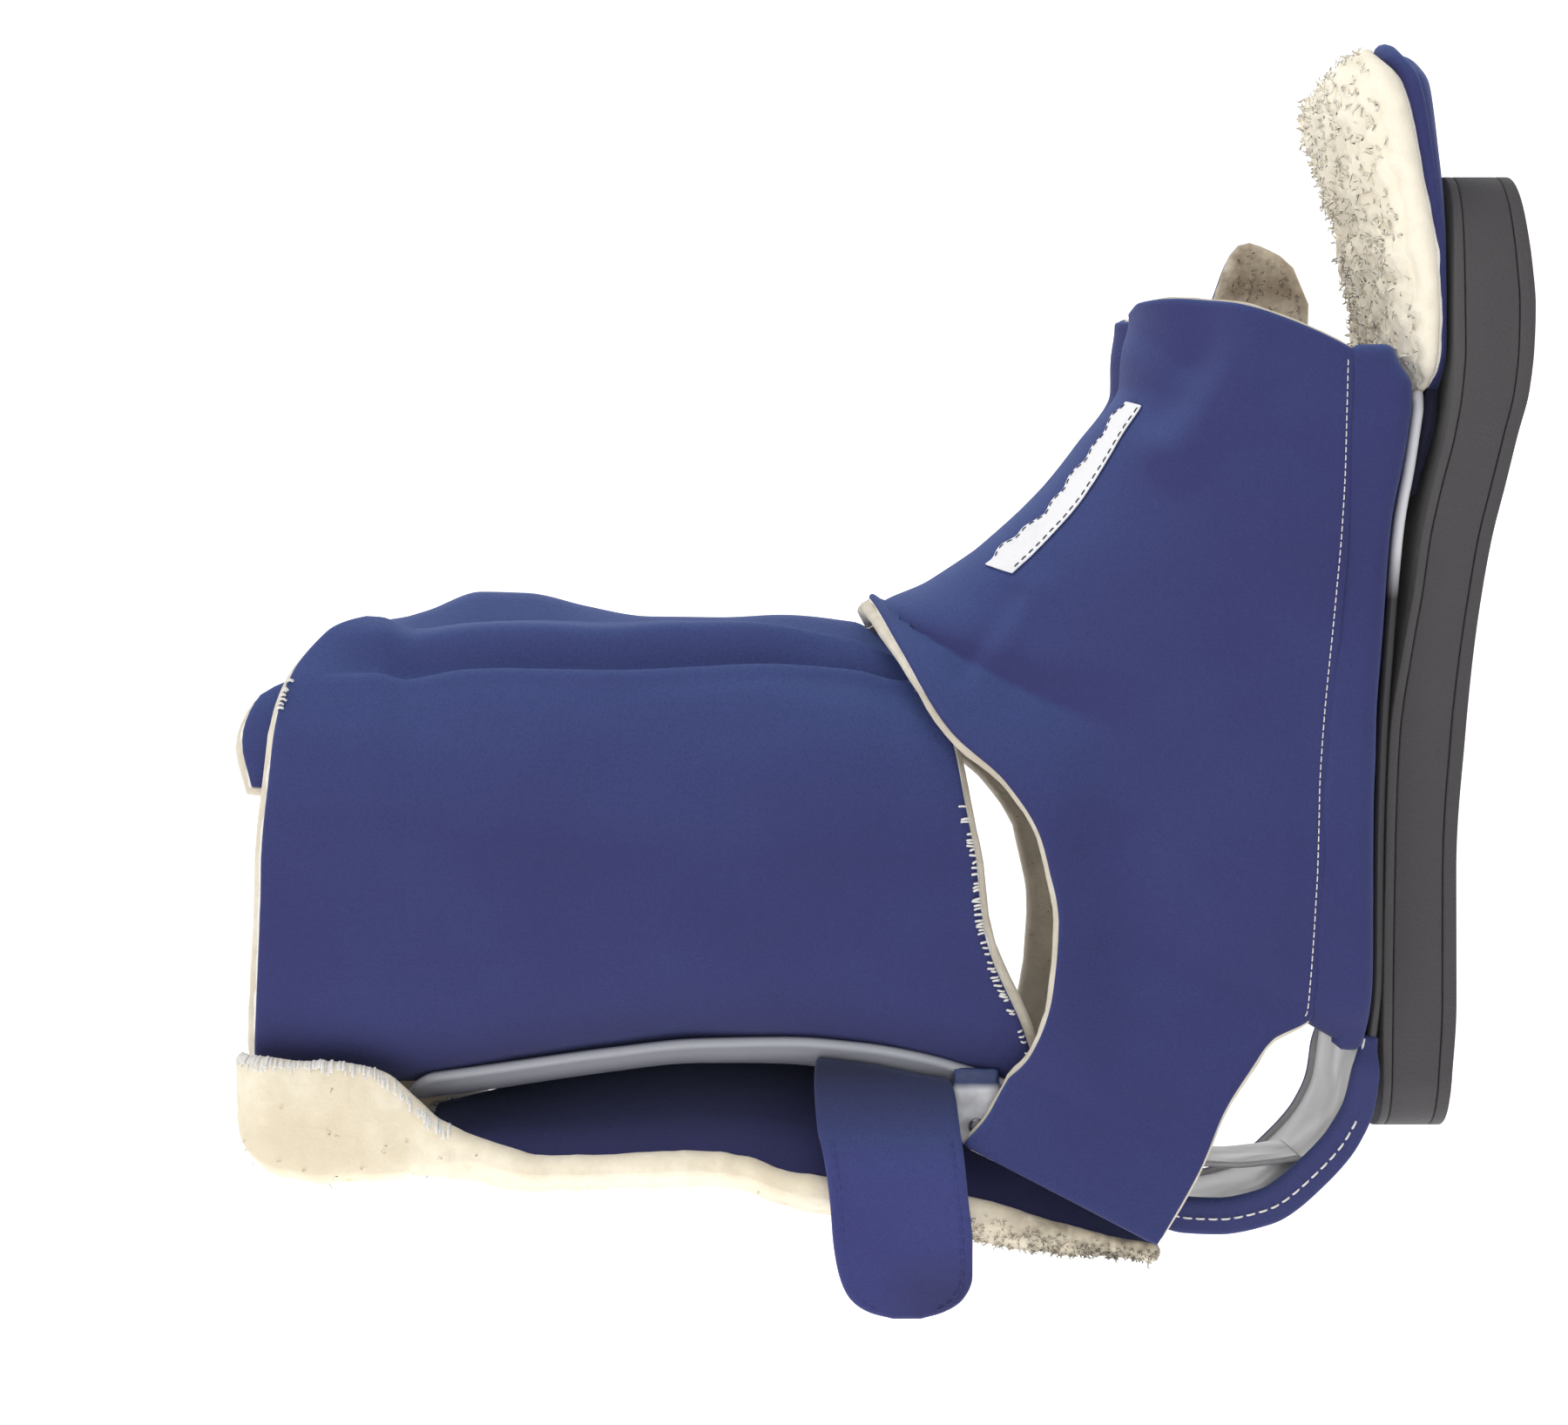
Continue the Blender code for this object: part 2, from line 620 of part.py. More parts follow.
def panel_point(place, share, far):
    """A point of a foot wrap panel's outer face: near or far side, wound over the instep."""
    right_x, right_z = side(row_at(PANEL_ROWS, "right_x", place), row_at(PANEL_ROWS, "right_z", place))
    left_x, left_z = side(row_at(PANEL_ROWS, "left_x", place), row_at(PANEL_ROWS, "left_z", place))
    near_turn = row_at(PANEL_ROWS, "near_turn", place)
    turn = row_at(PANEL_ROWS, "far_turn", place) if far else near_turn
    half = row_at(PANEL_ROWS, "half", place) * HALF
    power = 2.0 / ROUND_FOOT
    angle = turn * share
    sine = math.sin(math.radians(angle))
    cosine = math.cos(math.radians(angle))
    whole = math.sin(math.radians(min(near_turn, 90.0))) ** power
    fraction = sine**power / whole if sine > 0 else 0.0
    hidden = ease((angle - UNDER_START) / UNDER_RAMP) if far else 0.0
    half -= UNDER_STEP * hidden
    right_x -= SEAT
    into_x, into_z = crest_inward(place)
    x = right_x + (left_x - right_x) * fraction + into_x * UNDER_STEP * hidden
    climb = min(fraction, 1.0)
    z = right_z + (left_z - right_z) * climb
    z += row_at(PANEL_ROWS, "bow", place) * 4.0 * climb * (1.0 - climb) + into_z * UNDER_STEP * hidden
    y = math.copysign(abs(cosine) ** power, cosine) * half
    if far and place < PANEL_CUT:
        lift = (1.0 - place / PANEL_CUT) * FAR_PEAK
        z += lift * math.exp(-(((climb - FAR_PEAK_AT) / FAR_PEAK_SPREAD) ** 4))
    point = (x, y if far else -y, z)
    return clear_of_leg(point, STEP + SEAT)


def panel_grid(far, columns, low_share=0.0, high_share=1.0, first=0.0, last=None, rows=PANEL_ROUNDS):
    last = len(PANEL_ROWS) - 1 if last is None else last
    grid = []
    for place in spread(first, last, rows):
        line = [panel_point(place, share, far) for share in spread(low_share, high_share, columns)]
        grid.append(line)
    return grid


def make_panels(navy, cream):
    for name, far, columns, inward in (("near", False, NEAR_COLUMNS, 1.0), ("far", True, FAR_COLUMNS, -1.0)):
        outer = panel_grid(far, columns)
        fabric_in = offset_grid(outer, inward * FABRIC)
        pile_out = offset_grid(outer, inward * (FABRIC + 2.0 * GAP))
        pile_in = offset_grid(outer, inward * (FABRIC + 2.0 * GAP + PILE))
        slab("foot_wrap_" + name, fabric_in, outer, navy)
        slab("foot_lining_" + name, pile_in, pile_out, cream)


def make_label(paint):
    first, last = LABEL_ROWS
    low, high = LABEL_ACROSS
    face = panel_grid(False, LABEL_COLUMNS, low, high, first, last, LABEL_ROUNDS)
    raised = offset_grid(face, -LABEL_LIFT)
    slab("label", raised, offset_grid(face, -LABEL_LIFT - LABEL_THICK), paint)


def plate_x(z):
    """The footplate's inner face at a height."""
    rows = [row for row in FRAME_ROWS if row.x > FOOTPLATE_FROM]
    z_share = z / (DROP if z < 0 else RISE)
    return read(rows, "z", "x", z_share) * FOOT


def make_sole_cover(paint):
    inner = []
    outer = []
    for place in spread(0, len(COVER_ROWS) - 1, COVER_ROUNDS):
        z_share = row_at(COVER_ROWS, "z", place)
        seam_x, z = side(row_at(COVER_ROWS, "seam", place), z_share)
        seam_x += GAP
        half = row_at(COVER_ROWS, "half", place) * HALF
        toe_front = read(TOE_ROWS, "z", "front", z_share) * FOOT
        back = min(plate_x(z) - GAP - GAP, toe_front - SEAT)
        wall = COVER_WALL
        front = min(seam_x, back - COVER_BASE - EDGE)
        outline = []
        lining = []
        corner = half - wall
        for sign in (-1.0, 1.0):
            run = [(front, half), (back - wall, half)]
            run.append((back - wall * COVER_CORNER, half - wall * COVER_CORNER))
            run.append((back, half - wall))
            bare = [(front, corner), (back - COVER_BASE - EDGE * COVER_INNER, corner)]
            inset = EDGE * COVER_CORNER
            bare.append((back - COVER_BASE - inset, corner - inset))
            bare.append((back - COVER_BASE, corner - EDGE))
            if sign > 0:
                run.reverse()
                bare.reverse()
            outline += [(x, sign * y, z) for x, y in run]
            lining += [(x, sign * y, z) for x, y in bare]
        outer.append(outline)
        inner.append(lining)
    slab("sole_cover", inner, outer, paint)


def make_heel_cover(paint):
    inner = []
    outer = []
    first = HEEL_ROWS[0].place
    last = HEEL_ROWS[-1].place
    stations = frame_lines(first, last, 0.0)
    for place, (x, z, half, _, outward) in zip(range(first, last + 1), stations):
        bed = half + GAP
        wide = bed + HEEL_WALL
        back = PLATE + GAP + FABRIC
        rest = PLATE + GAP
        near = back - read(HEEL_ROWS, "place", "near", place)
        far = back - read(HEEL_ROWS, "place", "far", place)
        shell = [(near, -wide), (back - EDGE, -wide), (back, -wide + EDGE)]
        shell += [(back, wide - EDGE), (back - EDGE, wide), (far, wide)]
        bare = [(near, -bed), (rest - GAP, -bed), (rest, -bed + GAP)]
        bare += [(rest, bed - GAP), (rest - GAP, bed), (far, bed)]
        outer.append([(x + outward[0] * out, y, z + outward[1] * out) for out, y in shell])
        inner.append([(x + outward[0] * out, y, z + outward[1] * out) for out, y in bare])
    slab("heel_cover", inner, outer, paint)


def fold_line(place):
    """One section of the calf fold's upper face, from the near edge across to the far edge."""
    x_share = row_at(FOLD_ROWS, "x", place)
    x, middle = side(x_share, row_at(FOLD_ROWS, "middle", place))
    corner = row_at(FOLD_ROWS, "corner", place) * DROP
    lip = row_at(FOLD_ROWS, "lip", place) * DROP
    half = row_at(FOLD_ROWS, "half", place) * HALF
    run = []
    for share in FOLD_ACROSS:
        run.append((share * half, middle + (corner - middle) * share**FOLD_SAG))
    for row in LIP_ROWS:
        run.append((half + lip * row.aside, corner + lip * row.up))
    near = [(x, -y, z) for y, z in reversed(run)]
    return near + [(x, y, z) for y, z in run[1:]]


def make_fold(navy, cream):
    last = len(FOLD_ROWS) - 1
    places = spread(0, last, last + 1)
    upper = [fold_line(place) for place in places]
    lower = []
    for place, line in zip(places, offset_grid(upper, 1.0)):
        thick = FOLD_PILE * row_at(FOLD_ROWS, "pile", place)
        base = upper[len(lower)]
        lower.append([shifted(b, sub(b, m), thick) for b, m in zip(base, line)])
    slab("calf_fold_fleece", lower, upper, cream)
    liner = []
    for lift in (GAP, GAP + FABRIC):
        raised = offset_grid(upper, lift)
        liner.append([line[LIP_CROP:-LIP_CROP] for line in raised[FOLD_LINER_FROM:]])
    slab("calf_fold_liner", liner[0], liner[1], navy)


def make_strap(paint):
    inner = []
    for place in spread(0, len(STRAP_ROWS) - 1, STRAP_ROUNDS):
        left, z = side(row_at(STRAP_ROWS, "left", place), row_at(STRAP_ROWS, "z", place))
        right = row_at(STRAP_ROWS, "right", place) * LEG
        y = -row_at(STRAP_ROWS, "out", place) * HALF
        held = max(0.0, 1.0 - place / STRAP_ROOT)
        run = []
        for x in spread(left, right, STRAP_COLUMNS):
            under = -leg_under(x) * flank(x, y) - REST - PLATE - STRAP_DROP
            run.append((x, z + (under - z) * held))
        inner.append([(x, y, level) for x, level in run])
    slab("strap", inner, offset_grid(inner, STRAP_THICK), paint)


def make_toe_pad(navy, cream):
    fleece_front = []
    fleece_back = []
    cover_front = []
    cover_back = []
    for place in spread(0, len(TOE_ROWS) - 1, len(TOE_ROWS)):
        front, z = side(row_at(TOE_ROWS, "front", place), row_at(TOE_ROWS, "z", place))
        middle = row_at(TOE_ROWS, "middle", place) * FOOT
        back = row_at(TOE_ROWS, "back", place) * FOOT
        half = row_at(TOE_ROWS, "half", place) * HALF
        lines = ([], [], [], [])
        for share in TOE_ACROSS:
            full = (1.0 - (1.0 - TOE_EDGE) * abs(share) ** TOE_ROUND) ** (1.0 / TOE_ROUND)
            y = share * half
            lines[0].append((middle - (middle - front) * full, y, z))
            lines[1].append((middle, y, z))
            lines[2].append((middle + GAP, y, z))
            lines[3].append((middle + GAP + (back - middle) * full, y, z))
        fleece_front.append(lines[0])
        fleece_back.append(lines[1])
        cover_front.append(lines[2])
        cover_back.append(lines[3])
    slab("toe_pad", fleece_front, fleece_back, cream)
    slab("toe_cover", cover_front, cover_back, navy)


def make_tongue(paint):
    front = []
    back = []
    for place in spread(0, len(TONGUE_ROWS) - 1, TONGUE_ROUNDS):
        near_x, z = side(row_at(TONGUE_ROWS, "front", place), row_at(TONGUE_ROWS, "z", place))
        far_x = row_at(TONGUE_ROWS, "back", place) * FOOT
        half = TONGUE_HALF * HALF
        front.append([(near_x, y, z) for y in (-half, half)])
        back.append([(far_x, y, z) for y in (-half, half)])
    slab("toe_tongue", front, back, paint, False)


def make_sole():
    plate = max(row.half for row in FRAME_ROWS if row.x > FOOTPLATE_FROM) * HALF
    for name, start, end, colour in SOLE_LAYERS:
        front = []
        back = []
        for row in SOLE_ROWS:
            near_x, z = side(row.front, row.z)
            far_x = row.back * FOOT
            depth = far_x - near_x
            half = row.half * (plate + SOLE_OVER)
            start_x = near_x + depth * start + (GAP if start > 0 else 0.0)
            end_x = near_x + depth * end
            front.append([(start_x, y, z) for y in (-half, half)])
            back.append([(end_x, y, z) for y in (-half, half)])
        slab(name, front, back, material(name, colour, 0.85), False)


def make_heel_strip(paint):
    upper = []
    lower = []
    half = HEEL_STRIP_HALF * HALF
    for place in spread(0, len(HEEL_STRIP_ROWS) - 1, HEEL_STRIP_ROUNDS):
        x, z = side(row_at(HEEL_STRIP_ROWS, "x", place), row_at(HEEL_STRIP_ROWS, "z", place))
        upper.append([(x, y, z) for y in (-half, half)])
        lower.append([(x, y, z - HEEL_STRIP_THICK) for y in (-half, half)])
    slab("heel_strip", upper, lower, paint)


def make_clip(paint, steel):
    left, top = side(CLIP_LEFT, CLIP_TOP)
    right, low = side(CLIP_RIGHT, CLIP_LOW)
    middle = (left + right) / 2.0
    radius = (right - left) / 2.0
    seat = read(FRAME_ROWS, "x", "half", CLIP_LEFT) * HALF + GAP
    inner = []
    outer = []
    for angle in spread(0.0, 90.0, CLIP_ROUNDS):
        half = radius * math.cos(math.radians(angle)) + GAP
        z = low + radius - radius * math.sin(math.radians(angle))
        inner.append([(middle + s * half, -seat, z) for s in (-1.0, 1.0)])
        outer.append([(middle + s * half, -seat - CLIP_THICK, z) for s in (-1.0, 1.0)])
    inner.insert(0, [(middle + s * radius, -seat, top) for s in (-1.0, 1.0)])
    outer.insert(0, [(middle + s * radius, -seat - CLIP_THICK, top) for s in (-1.0, 1.0)])
    slab("clip", inner, outer, paint, False)
    ring = RIVET_SIDES
    points = []
    head = -seat - CLIP_THICK - GAP
    for y in (head, head - RIVET_HEIGHT):
        for step in range(ring):
            angle = 2.0 * math.pi * step / ring
            x = middle + RIVET_R * math.cos(angle)
            points.append((x, y, low + radius + RIVET_R * math.sin(angle)))
    faces = [list(range(ring)), list(range(2 * ring - 1, ring - 1, -1))]
    for step in range(ring):
        after = (step + 1) % ring
        faces.append([after, step, ring + step, ring + after])
    solid("rivet", points, faces, steel, False)


def build():
    for old in list(bpy.data.objects):
        bpy.data.objects.remove(old)
    navy = material("navy_fabric", NAVY, 0.8)
    liner = material("navy_liner", NAVY_LINER, 0.85)
    cream = material("cream_fleece", CREAM, 0.95)
    white = material("white_plastic", WHITE, 0.35)
    make_frame(white)
    make_leg(navy, cream)
    make_panels(navy, cream)
    make_label(material("label_white", WHITE, 0.6))
    make_sole_cover(navy)
    make_heel_cover(liner)
    make_fold(liner, cream)
    make_strap(navy)
    make_toe_pad(navy, cream)
    make_tongue(liner)
    make_sole()
    make_heel_strip(white)
    make_clip(white, material("rivet_steel", STEEL, 0.4, 0.8))


build()
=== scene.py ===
"""The contracture boot's looks, built round the CAD frame, in metres in the same frame.

The tables are the CAD source's own. Shares of LEG, FOOT, RISE, DROP and HALF give every section, and
each soft piece is the same surface again with more points, a rounded edge, creases and a pile.
"""

from collections import namedtuple

import bpy
import numpy as np
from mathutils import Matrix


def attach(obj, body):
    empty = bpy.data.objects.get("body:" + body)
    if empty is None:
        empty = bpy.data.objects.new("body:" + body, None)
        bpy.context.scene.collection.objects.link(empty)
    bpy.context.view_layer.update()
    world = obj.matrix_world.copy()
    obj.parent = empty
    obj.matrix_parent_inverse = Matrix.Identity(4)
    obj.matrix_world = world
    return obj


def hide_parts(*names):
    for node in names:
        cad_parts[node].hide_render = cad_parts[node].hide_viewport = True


LEG = 0.256
FOOT = 0.068
RISE = 0.150
DROP = 0.098
HALF = 0.057
FABRIC = 0.0020
PILE = 0.0042
PLATE = 0.0032
GAP = 0.0003
SEAT = 0.0010
REST = 0.0017
EDGE = 0.0012
FOLD_PILE = 0.0065
SOLE_OVER = 0.0021
STRAP_THICK = 0.0024

STEP = FABRIC + PILE + GAP + 2.0 * SEAT
UNDER_STEP = STEP + 2.0 * SEAT

ROUND_OVER = 2.4
ROUND_UNDER = 4.2
ROUND_FOOT = 2.5

NAVY = (0.045, 0.048, 0.175)
NAVY_LINER = (0.028, 0.029, 0.110)
CREAM = (0.82, 0.75, 0.60)
WHITE = (0.80, 0.80, 0.82)
RUBBER = (0.070, 0.066, 0.070)
RUBBER_TOP = (0.095, 0.090, 0.092)
STEEL = (0.16, 0.16, 0.17)

LegRow = namedtuple("LegRow", "x near_top far_top half")
LEG_ROWS = [
    LegRow(-1.040, 0.520, 0.500, 0.965),
    LegRow(-0.940, 0.533, 0.500, 0.990),
    LegRow(-0.870, 0.528, 0.512, 1.000),
    LegRow(-0.830, 0.502, 0.530, 1.005),
    LegRow(-0.765, 0.517, 0.568, 1.010),
    LegRow(-0.710, 0.522, 0.566, 1.010),
    LegRow(-0.640, 0.524, 0.540, 1.005),
    LegRow(-0.560, 0.522, 0.520, 1.000),
    LegRow(-0.480, 0.514, 0.518, 0.985),
    LegRow(-0.400, 0.500, 0.525, 0.970),
    LegRow(-0.320, 0.478, 0.512, 0.950),
    LegRow(-0.270, 0.445, 0.462, 0.935),
    LegRow(-0.200, 0.430, 0.440, 0.915),
    LegRow(-0.150, 0.425, 0.430, 0.905),
    LegRow(-0.080, 0.420, 0.420, 0.895),
    LegRow(0.000, 0.420, 0.420, 0.890),
]

EndRow = namedtuple("EndRow", "turn start end")
LEG_ENDS = [
    EndRow(-252, -1.004, -0.245),
    EndRow(-240, -1.016, -0.245),
    EndRow(-226, -1.002, -0.245),
    EndRow(-214, -0.930, -0.245),
    EndRow(-198, -0.875, -0.245),
    EndRow(-180, -0.870, -0.245),
    EndRow(-160, -0.880, -0.242),
    EndRow(-120, -0.960, -0.212),
    EndRow(-90, -0.990, -0.186),
    EndRow(-45, -0.998, -0.116),
    EndRow(0, -1.000, -0.108),
    EndRow(45, -0.998, -0.116),
    EndRow(65, -0.994, -0.135),
    EndRow(90, -0.988, -0.186),
    EndRow(105, -0.980, -0.201),
    EndRow(120, -0.973, -0.212),
    EndRow(136, -0.957, -0.228),
    EndRow(150, -0.925, -0.240),
    EndRow(158, -0.885, -0.243),
]
FREE_TURN = 158
FAR_TURN = -252
UNDER_FROM = -168
UNDER_TO = -190
FLANK_MOST = 0.99
LEG_ROUNDS = 14
LEG_TURNS = 28

LegFold = namedtuple("LegFold", "turn depth spread")
LEG_FOLDS = [LegFold(141, 0.0012, 9.0), LegFold(156, -0.0008, 8.0)]

PathRow = namedtuple("PathRow", "x z half cup")
FRAME_ROWS = [
    PathRow(-0.826, -0.593, 0.640, 1.0),
    PathRow(-0.818, -0.592, 0.740, 1.0),
    PathRow(-0.800, -0.586, 0.790, 1.0),
    PathRow(-0.700, -0.548, 0.807, 1.0),
    PathRow(-0.600, -0.512, 0.807, 1.0),
    PathRow(-0.500, -0.485, 0.807, 1.0),
    PathRow(-0.400, -0.480, 0.807, 1.0),
    PathRow(-0.315, -0.497, 0.807, 1.0),
    PathRow(-0.253, -0.524, 0.800, 1.0),
    PathRow(-0.200, -0.562, 0.770, 1.0),
    PathRow(-0.175, -0.584, 0.762, 1.0),
    PathRow(-0.150, -0.610, 0.755, 1.0),
    PathRow(-0.125, -0.645, 0.750, 1.0),
    PathRow(-0.100, -0.685, 0.745, 1.0),
    PathRow(-0.050, -0.800, 0.740, 0.40),
    PathRow(-0.008, -0.910, 0.735, 0.0),
    PathRow(0.090, -0.978, 0.735, 0.0),
    PathRow(0.200, -1.008, 0.735, 0.0),
    PathRow(0.345, -1.012, 0.735, 0.0),
    PathRow(0.545, -0.984, 0.735, 0.0),
    PathRow(0.740, -0.882, 0.735, 0.0),
    PathRow(0.870, -0.775, 0.735, 0.0),
    PathRow(0.930, -0.680, 0.735, 0.0),
    PathRow(0.956, -0.560, 0.740, 0.0),
    PathRow(0.985, -0.440, 0.750, 0.0),
    PathRow(1.000, -0.300, 0.760, 0.0),
    PathRow(1.003, 0.000, 0.770, 0.0),
    PathRow(1.018, 0.247, 0.770, 0.0),
    PathRow(1.050, 0.460, 0.770, 0.0),
    PathRow(1.095, 0.680, 0.760, 0.0),
    PathRow(1.140, 0.790, 0.750, 0.0),
    PathRow(1.175, 0.890, 0.740, 0.0),
    PathRow(1.194, 0.935, 0.640, 0.0),
]
FRAME_FULL = -0.8
FRAME_ACROSS = [-1.0, -0.82, -0.60, -0.32, 0.0, 0.32, 0.60, 0.82, 1.0]
FOOTPLATE_FROM = 0.8

PanelRow = namedtuple("PanelRow", "right_x right_z left_x left_z bow half near_turn far_turn")
PANEL_ROWS = [
    PanelRow(0.912, 1.010, -0.006, 1.118, 0.0045, 0.900, 76, 126),
    PanelRow(0.905, 0.900, -0.011, 1.035, 0.0030, 0.915, 76, 128),
    PanelRow(0.897, 0.787, -0.012, 0.965, 0.0015, 0.925, 77, 130),
    PanelRow(0.882, 0.667, -0.052, 0.860, 0.0, 0.935, 77, 130),
    PanelRow(0.860, 0.547, -0.103, 0.752, 0.0, 0.945, 77, 128),
    PanelRow(0.838, 0.427, -0.165, 0.655, 0.0, 0.955, 78, 120),
    PanelRow(0.816, 0.307, -0.232, 0.575, 0.0, 0.965, 79, 100),
    PanelRow(0.800, 0.187, -0.298, 0.508, 0.0, 0.975, 79, 77),
    PanelRow(0.786, 0.080, -0.262, 0.368, 0.0, 0.985, 56, 56),
    PanelRow(0.772, -0.041, -0.212, 0.248, 0.0, 0.995, 36, 36),
    PanelRow(0.757, -0.184, -0.150, 0.160, 0.0, 0.990, 28, 28),
    PanelRow(0.742, -0.306, -0.108, 0.050, 0.0, 0.975, 22, 22),
    PanelRow(0.728, -0.406, -0.090, -0.120, 0.0, 0.950, 18, 18),
    PanelRow(0.560, -0.475, -0.097, -0.305, 0.0, 0.965, 16, 16),
    PanelRow(0.455, -0.572, -0.121, -0.490, 0.0, 0.985, 14, 14),
    PanelRow(0.352, -0.684, -0.152, -0.622, 0.0, 1.000, 12, 12),
    PanelRow(0.250, -0.850, -0.172, -0.714, 0.0, 1.010, 11, 11),
    PanelRow(0.070, -1.070, -0.196, -0.785, 0.0, 1.020, 10, 10),
]
PANEL_CUT = 2
FAR_PEAK = 0.034
FAR_PEAK_AT = 0.20
FAR_PEAK_SPREAD = 0.26
UNDER_START = 79.0
UNDER_RAMP = 16.0
PANEL_ROUNDS = 20
NEAR_COLUMNS = 9
FAR_COLUMNS = 11

CoverRow = namedtuple("CoverRow", "z seam half")
COVER_ROWS = [
    CoverRow(1.005, 0.912, 0.900),
    CoverRow(0.787, 0.897, 0.925),
    CoverRow(0.547, 0.860, 0.945),
    CoverRow(0.307, 0.816, 0.965),
    CoverRow(0.080, 0.786, 0.985),
    CoverRow(-0.041, 0.772, 0.995),
    CoverRow(-0.184, 0.757, 0.990),
    CoverRow(-0.306, 0.742, 0.975),
    CoverRow(-0.400, 0.730, 0.950),
    CoverRow(-0.455, 0.840, 0.900),
    CoverRow(-0.490, 0.905, 0.880),
]
COVER_WALL = 0.0060
COVER_BASE = 0.0060
COVER_CORNER = 0.3
COVER_INNER = 0.8
COVER_ROUNDS = 13
HEEL_WALL = 0.0044

HeelRow = namedtuple("HeelRow", "place near far")
HEEL_ROWS = [
    HeelRow(15, 0.0085, 0.0052),
    HeelRow(19, 0.0085, 0.0052),
    HeelRow(21, 0.0078, 0.0052),
    HeelRow(23, 0.0060, 0.0052),
]
HEEL_TAIL = 0.6

FoldRow = namedtuple("FoldRow", "x middle corner lip half pile")
FOLD_ROWS = [
    FoldRow(-1.004, -0.690, -0.715, 0.165, 0.84, 0.80),
    FoldRow(-0.990, -0.735, -0.775, 0.215, 0.88, 1.0),
    FoldRow(-0.968, -0.770, -0.825, 0.260, 0.90, 1.0),
    FoldRow(-0.918, -0.805, -0.846, 0.275, 0.90, 1.0),
    FoldRow(-0.863, -0.800, -0.842, 0.245, 0.89, 1.0),
    FoldRow(-0.824, -0.765, -0.835, 0.160, 0.88, 1.0),
    FoldRow(-0.793, -0.742, -0.832, 0.085, 0.88, 1.0),
    FoldRow(-0.746, -0.712, -0.843, 0.045, 0.88, 1.0),
    FoldRow(-0.676, -0.680, -0.874, 0.024, 0.885, 1.0),
    FoldRow(-0.598, -0.647, -0.872, 0.024, 0.885, 1.0),
    FoldRow(-0.500, -0.620, -0.862, 0.024, 0.885, 1.0),
    FoldRow(-0.449, -0.617, -0.876, 0.024, 0.885, 1.0),
    FoldRow(-0.402, -0.615, -0.920, 0.024, 0.885, 1.0),
    FoldRow(-0.363, -0.627, -0.940, 0.024, 0.885, 1.1),
    FoldRow(-0.273, -0.682, -0.966, 0.024, 0.880, 1.2),
    FoldRow(-0.187, -0.745, -1.010, 0.024, 0.860, 1.2),
    FoldRow(-0.109, -0.865, -1.064, 0.022, 0.830, 0.9),
    FoldRow(-0.055, -0.945, -1.092, 0.020, 0.810, 0.6),
    FoldRow(0.000, -1.068, -1.112, 0.014, 0.790, 0.45),
    FoldRow(0.070, -1.090, -1.122, 0.014, 0.780, 0.40),
]
FOLD_LINER_FROM = 5
FOLD_ACROSS = [0.0, 0.30, 0.55, 0.78, 0.95, 1.0]
FOLD_SAG = 1.6

LipRow = namedtuple("LipRow", "aside up")
LIP_ROWS = [LipRow(0.06, 0.5), LipRow(0.10, 1.0)]
LIP_CROP = 3

StrapRow = namedtuple("StrapRow", "z left right out")
STRAP_ROWS = [
    StrapRow(-0.600, -0.362, -0.222, 0.740),
    StrapRow(-0.695, -0.364, -0.214, 0.890),
    StrapRow(-0.745, -0.361, -0.210, 0.985),
    StrapRow(-0.815, -0.354, -0.206, 1.050),
    StrapRow(-0.940, -0.347, -0.201, 1.065),
    StrapRow(-1.068, -0.343, -0.196, 1.055),
    StrapRow(-1.165, -0.336, -0.196, 1.045),
    StrapRow(-1.225, -0.325, -0.205, 1.040),
    StrapRow(-1.262, -0.305, -0.226, 1.036),
    StrapRow(-1.280, -0.280, -0.250, 1.034),
]

STRAP_ROOT = 1.6
STRAP_DROP = 0.0025
STRAP_ROUNDS = 13
STRAP_COLUMNS = 4

ToeRow = namedtuple("ToeRow", "z front middle back half")
TOE_ROWS = [
    ToeRow(1.612, 1.010, 1.060, 1.150, 0.420),
    ToeRow(1.600, 0.930, 1.025, 1.215, 0.600),
    ToeRow(1.578, 0.880, 1.045, 1.255, 0.700),
    ToeRow(1.545, 0.852, 1.110, 1.285, 0.760),
    ToeRow(1.495, 0.866, 1.150, 1.296, 0.790),
    ToeRow(1.427, 0.919, 1.182, 1.310, 0.800),
    ToeRow(1.359, 0.960, 1.208, 1.325, 0.800),
    ToeRow(1.291, 1.015, 1.240, 1.332, 0.800),
    ToeRow(1.224, 1.030, 1.268, 1.337, 0.795),
    ToeRow(1.150, 1.065, 1.285, 1.337, 0.785),
    ToeRow(1.080, 1.092, 1.292, 1.337, 0.770),
    ToeRow(1.021, 1.105, 1.290, 1.337, 0.750),
    ToeRow(0.985, 1.140, 1.282, 1.332, 0.710),
    ToeRow(0.955, 1.185, 1.262, 1.322, 0.640),
]
TOE_ROUND = 4.0
TOE_EDGE = 0.06
TOE_ACROSS = [-1.0, -0.93, -0.78, -0.45, 0.0, 0.45, 0.78, 0.93, 1.0]

TongueRow = namedtuple("TongueRow", "z front back")
TONGUE_ROWS = [
    TongueRow(0.945, 1.268, 1.306),
    TongueRow(0.900, 1.246, 1.300),
    TongueRow(0.855, 1.228, 1.284),
    TongueRow(0.790, 1.204, 1.240),
    TongueRow(0.745, 1.182, 1.214),
]
TONGUE_HALF = 0.60
TONGUE_ROUNDS = 7

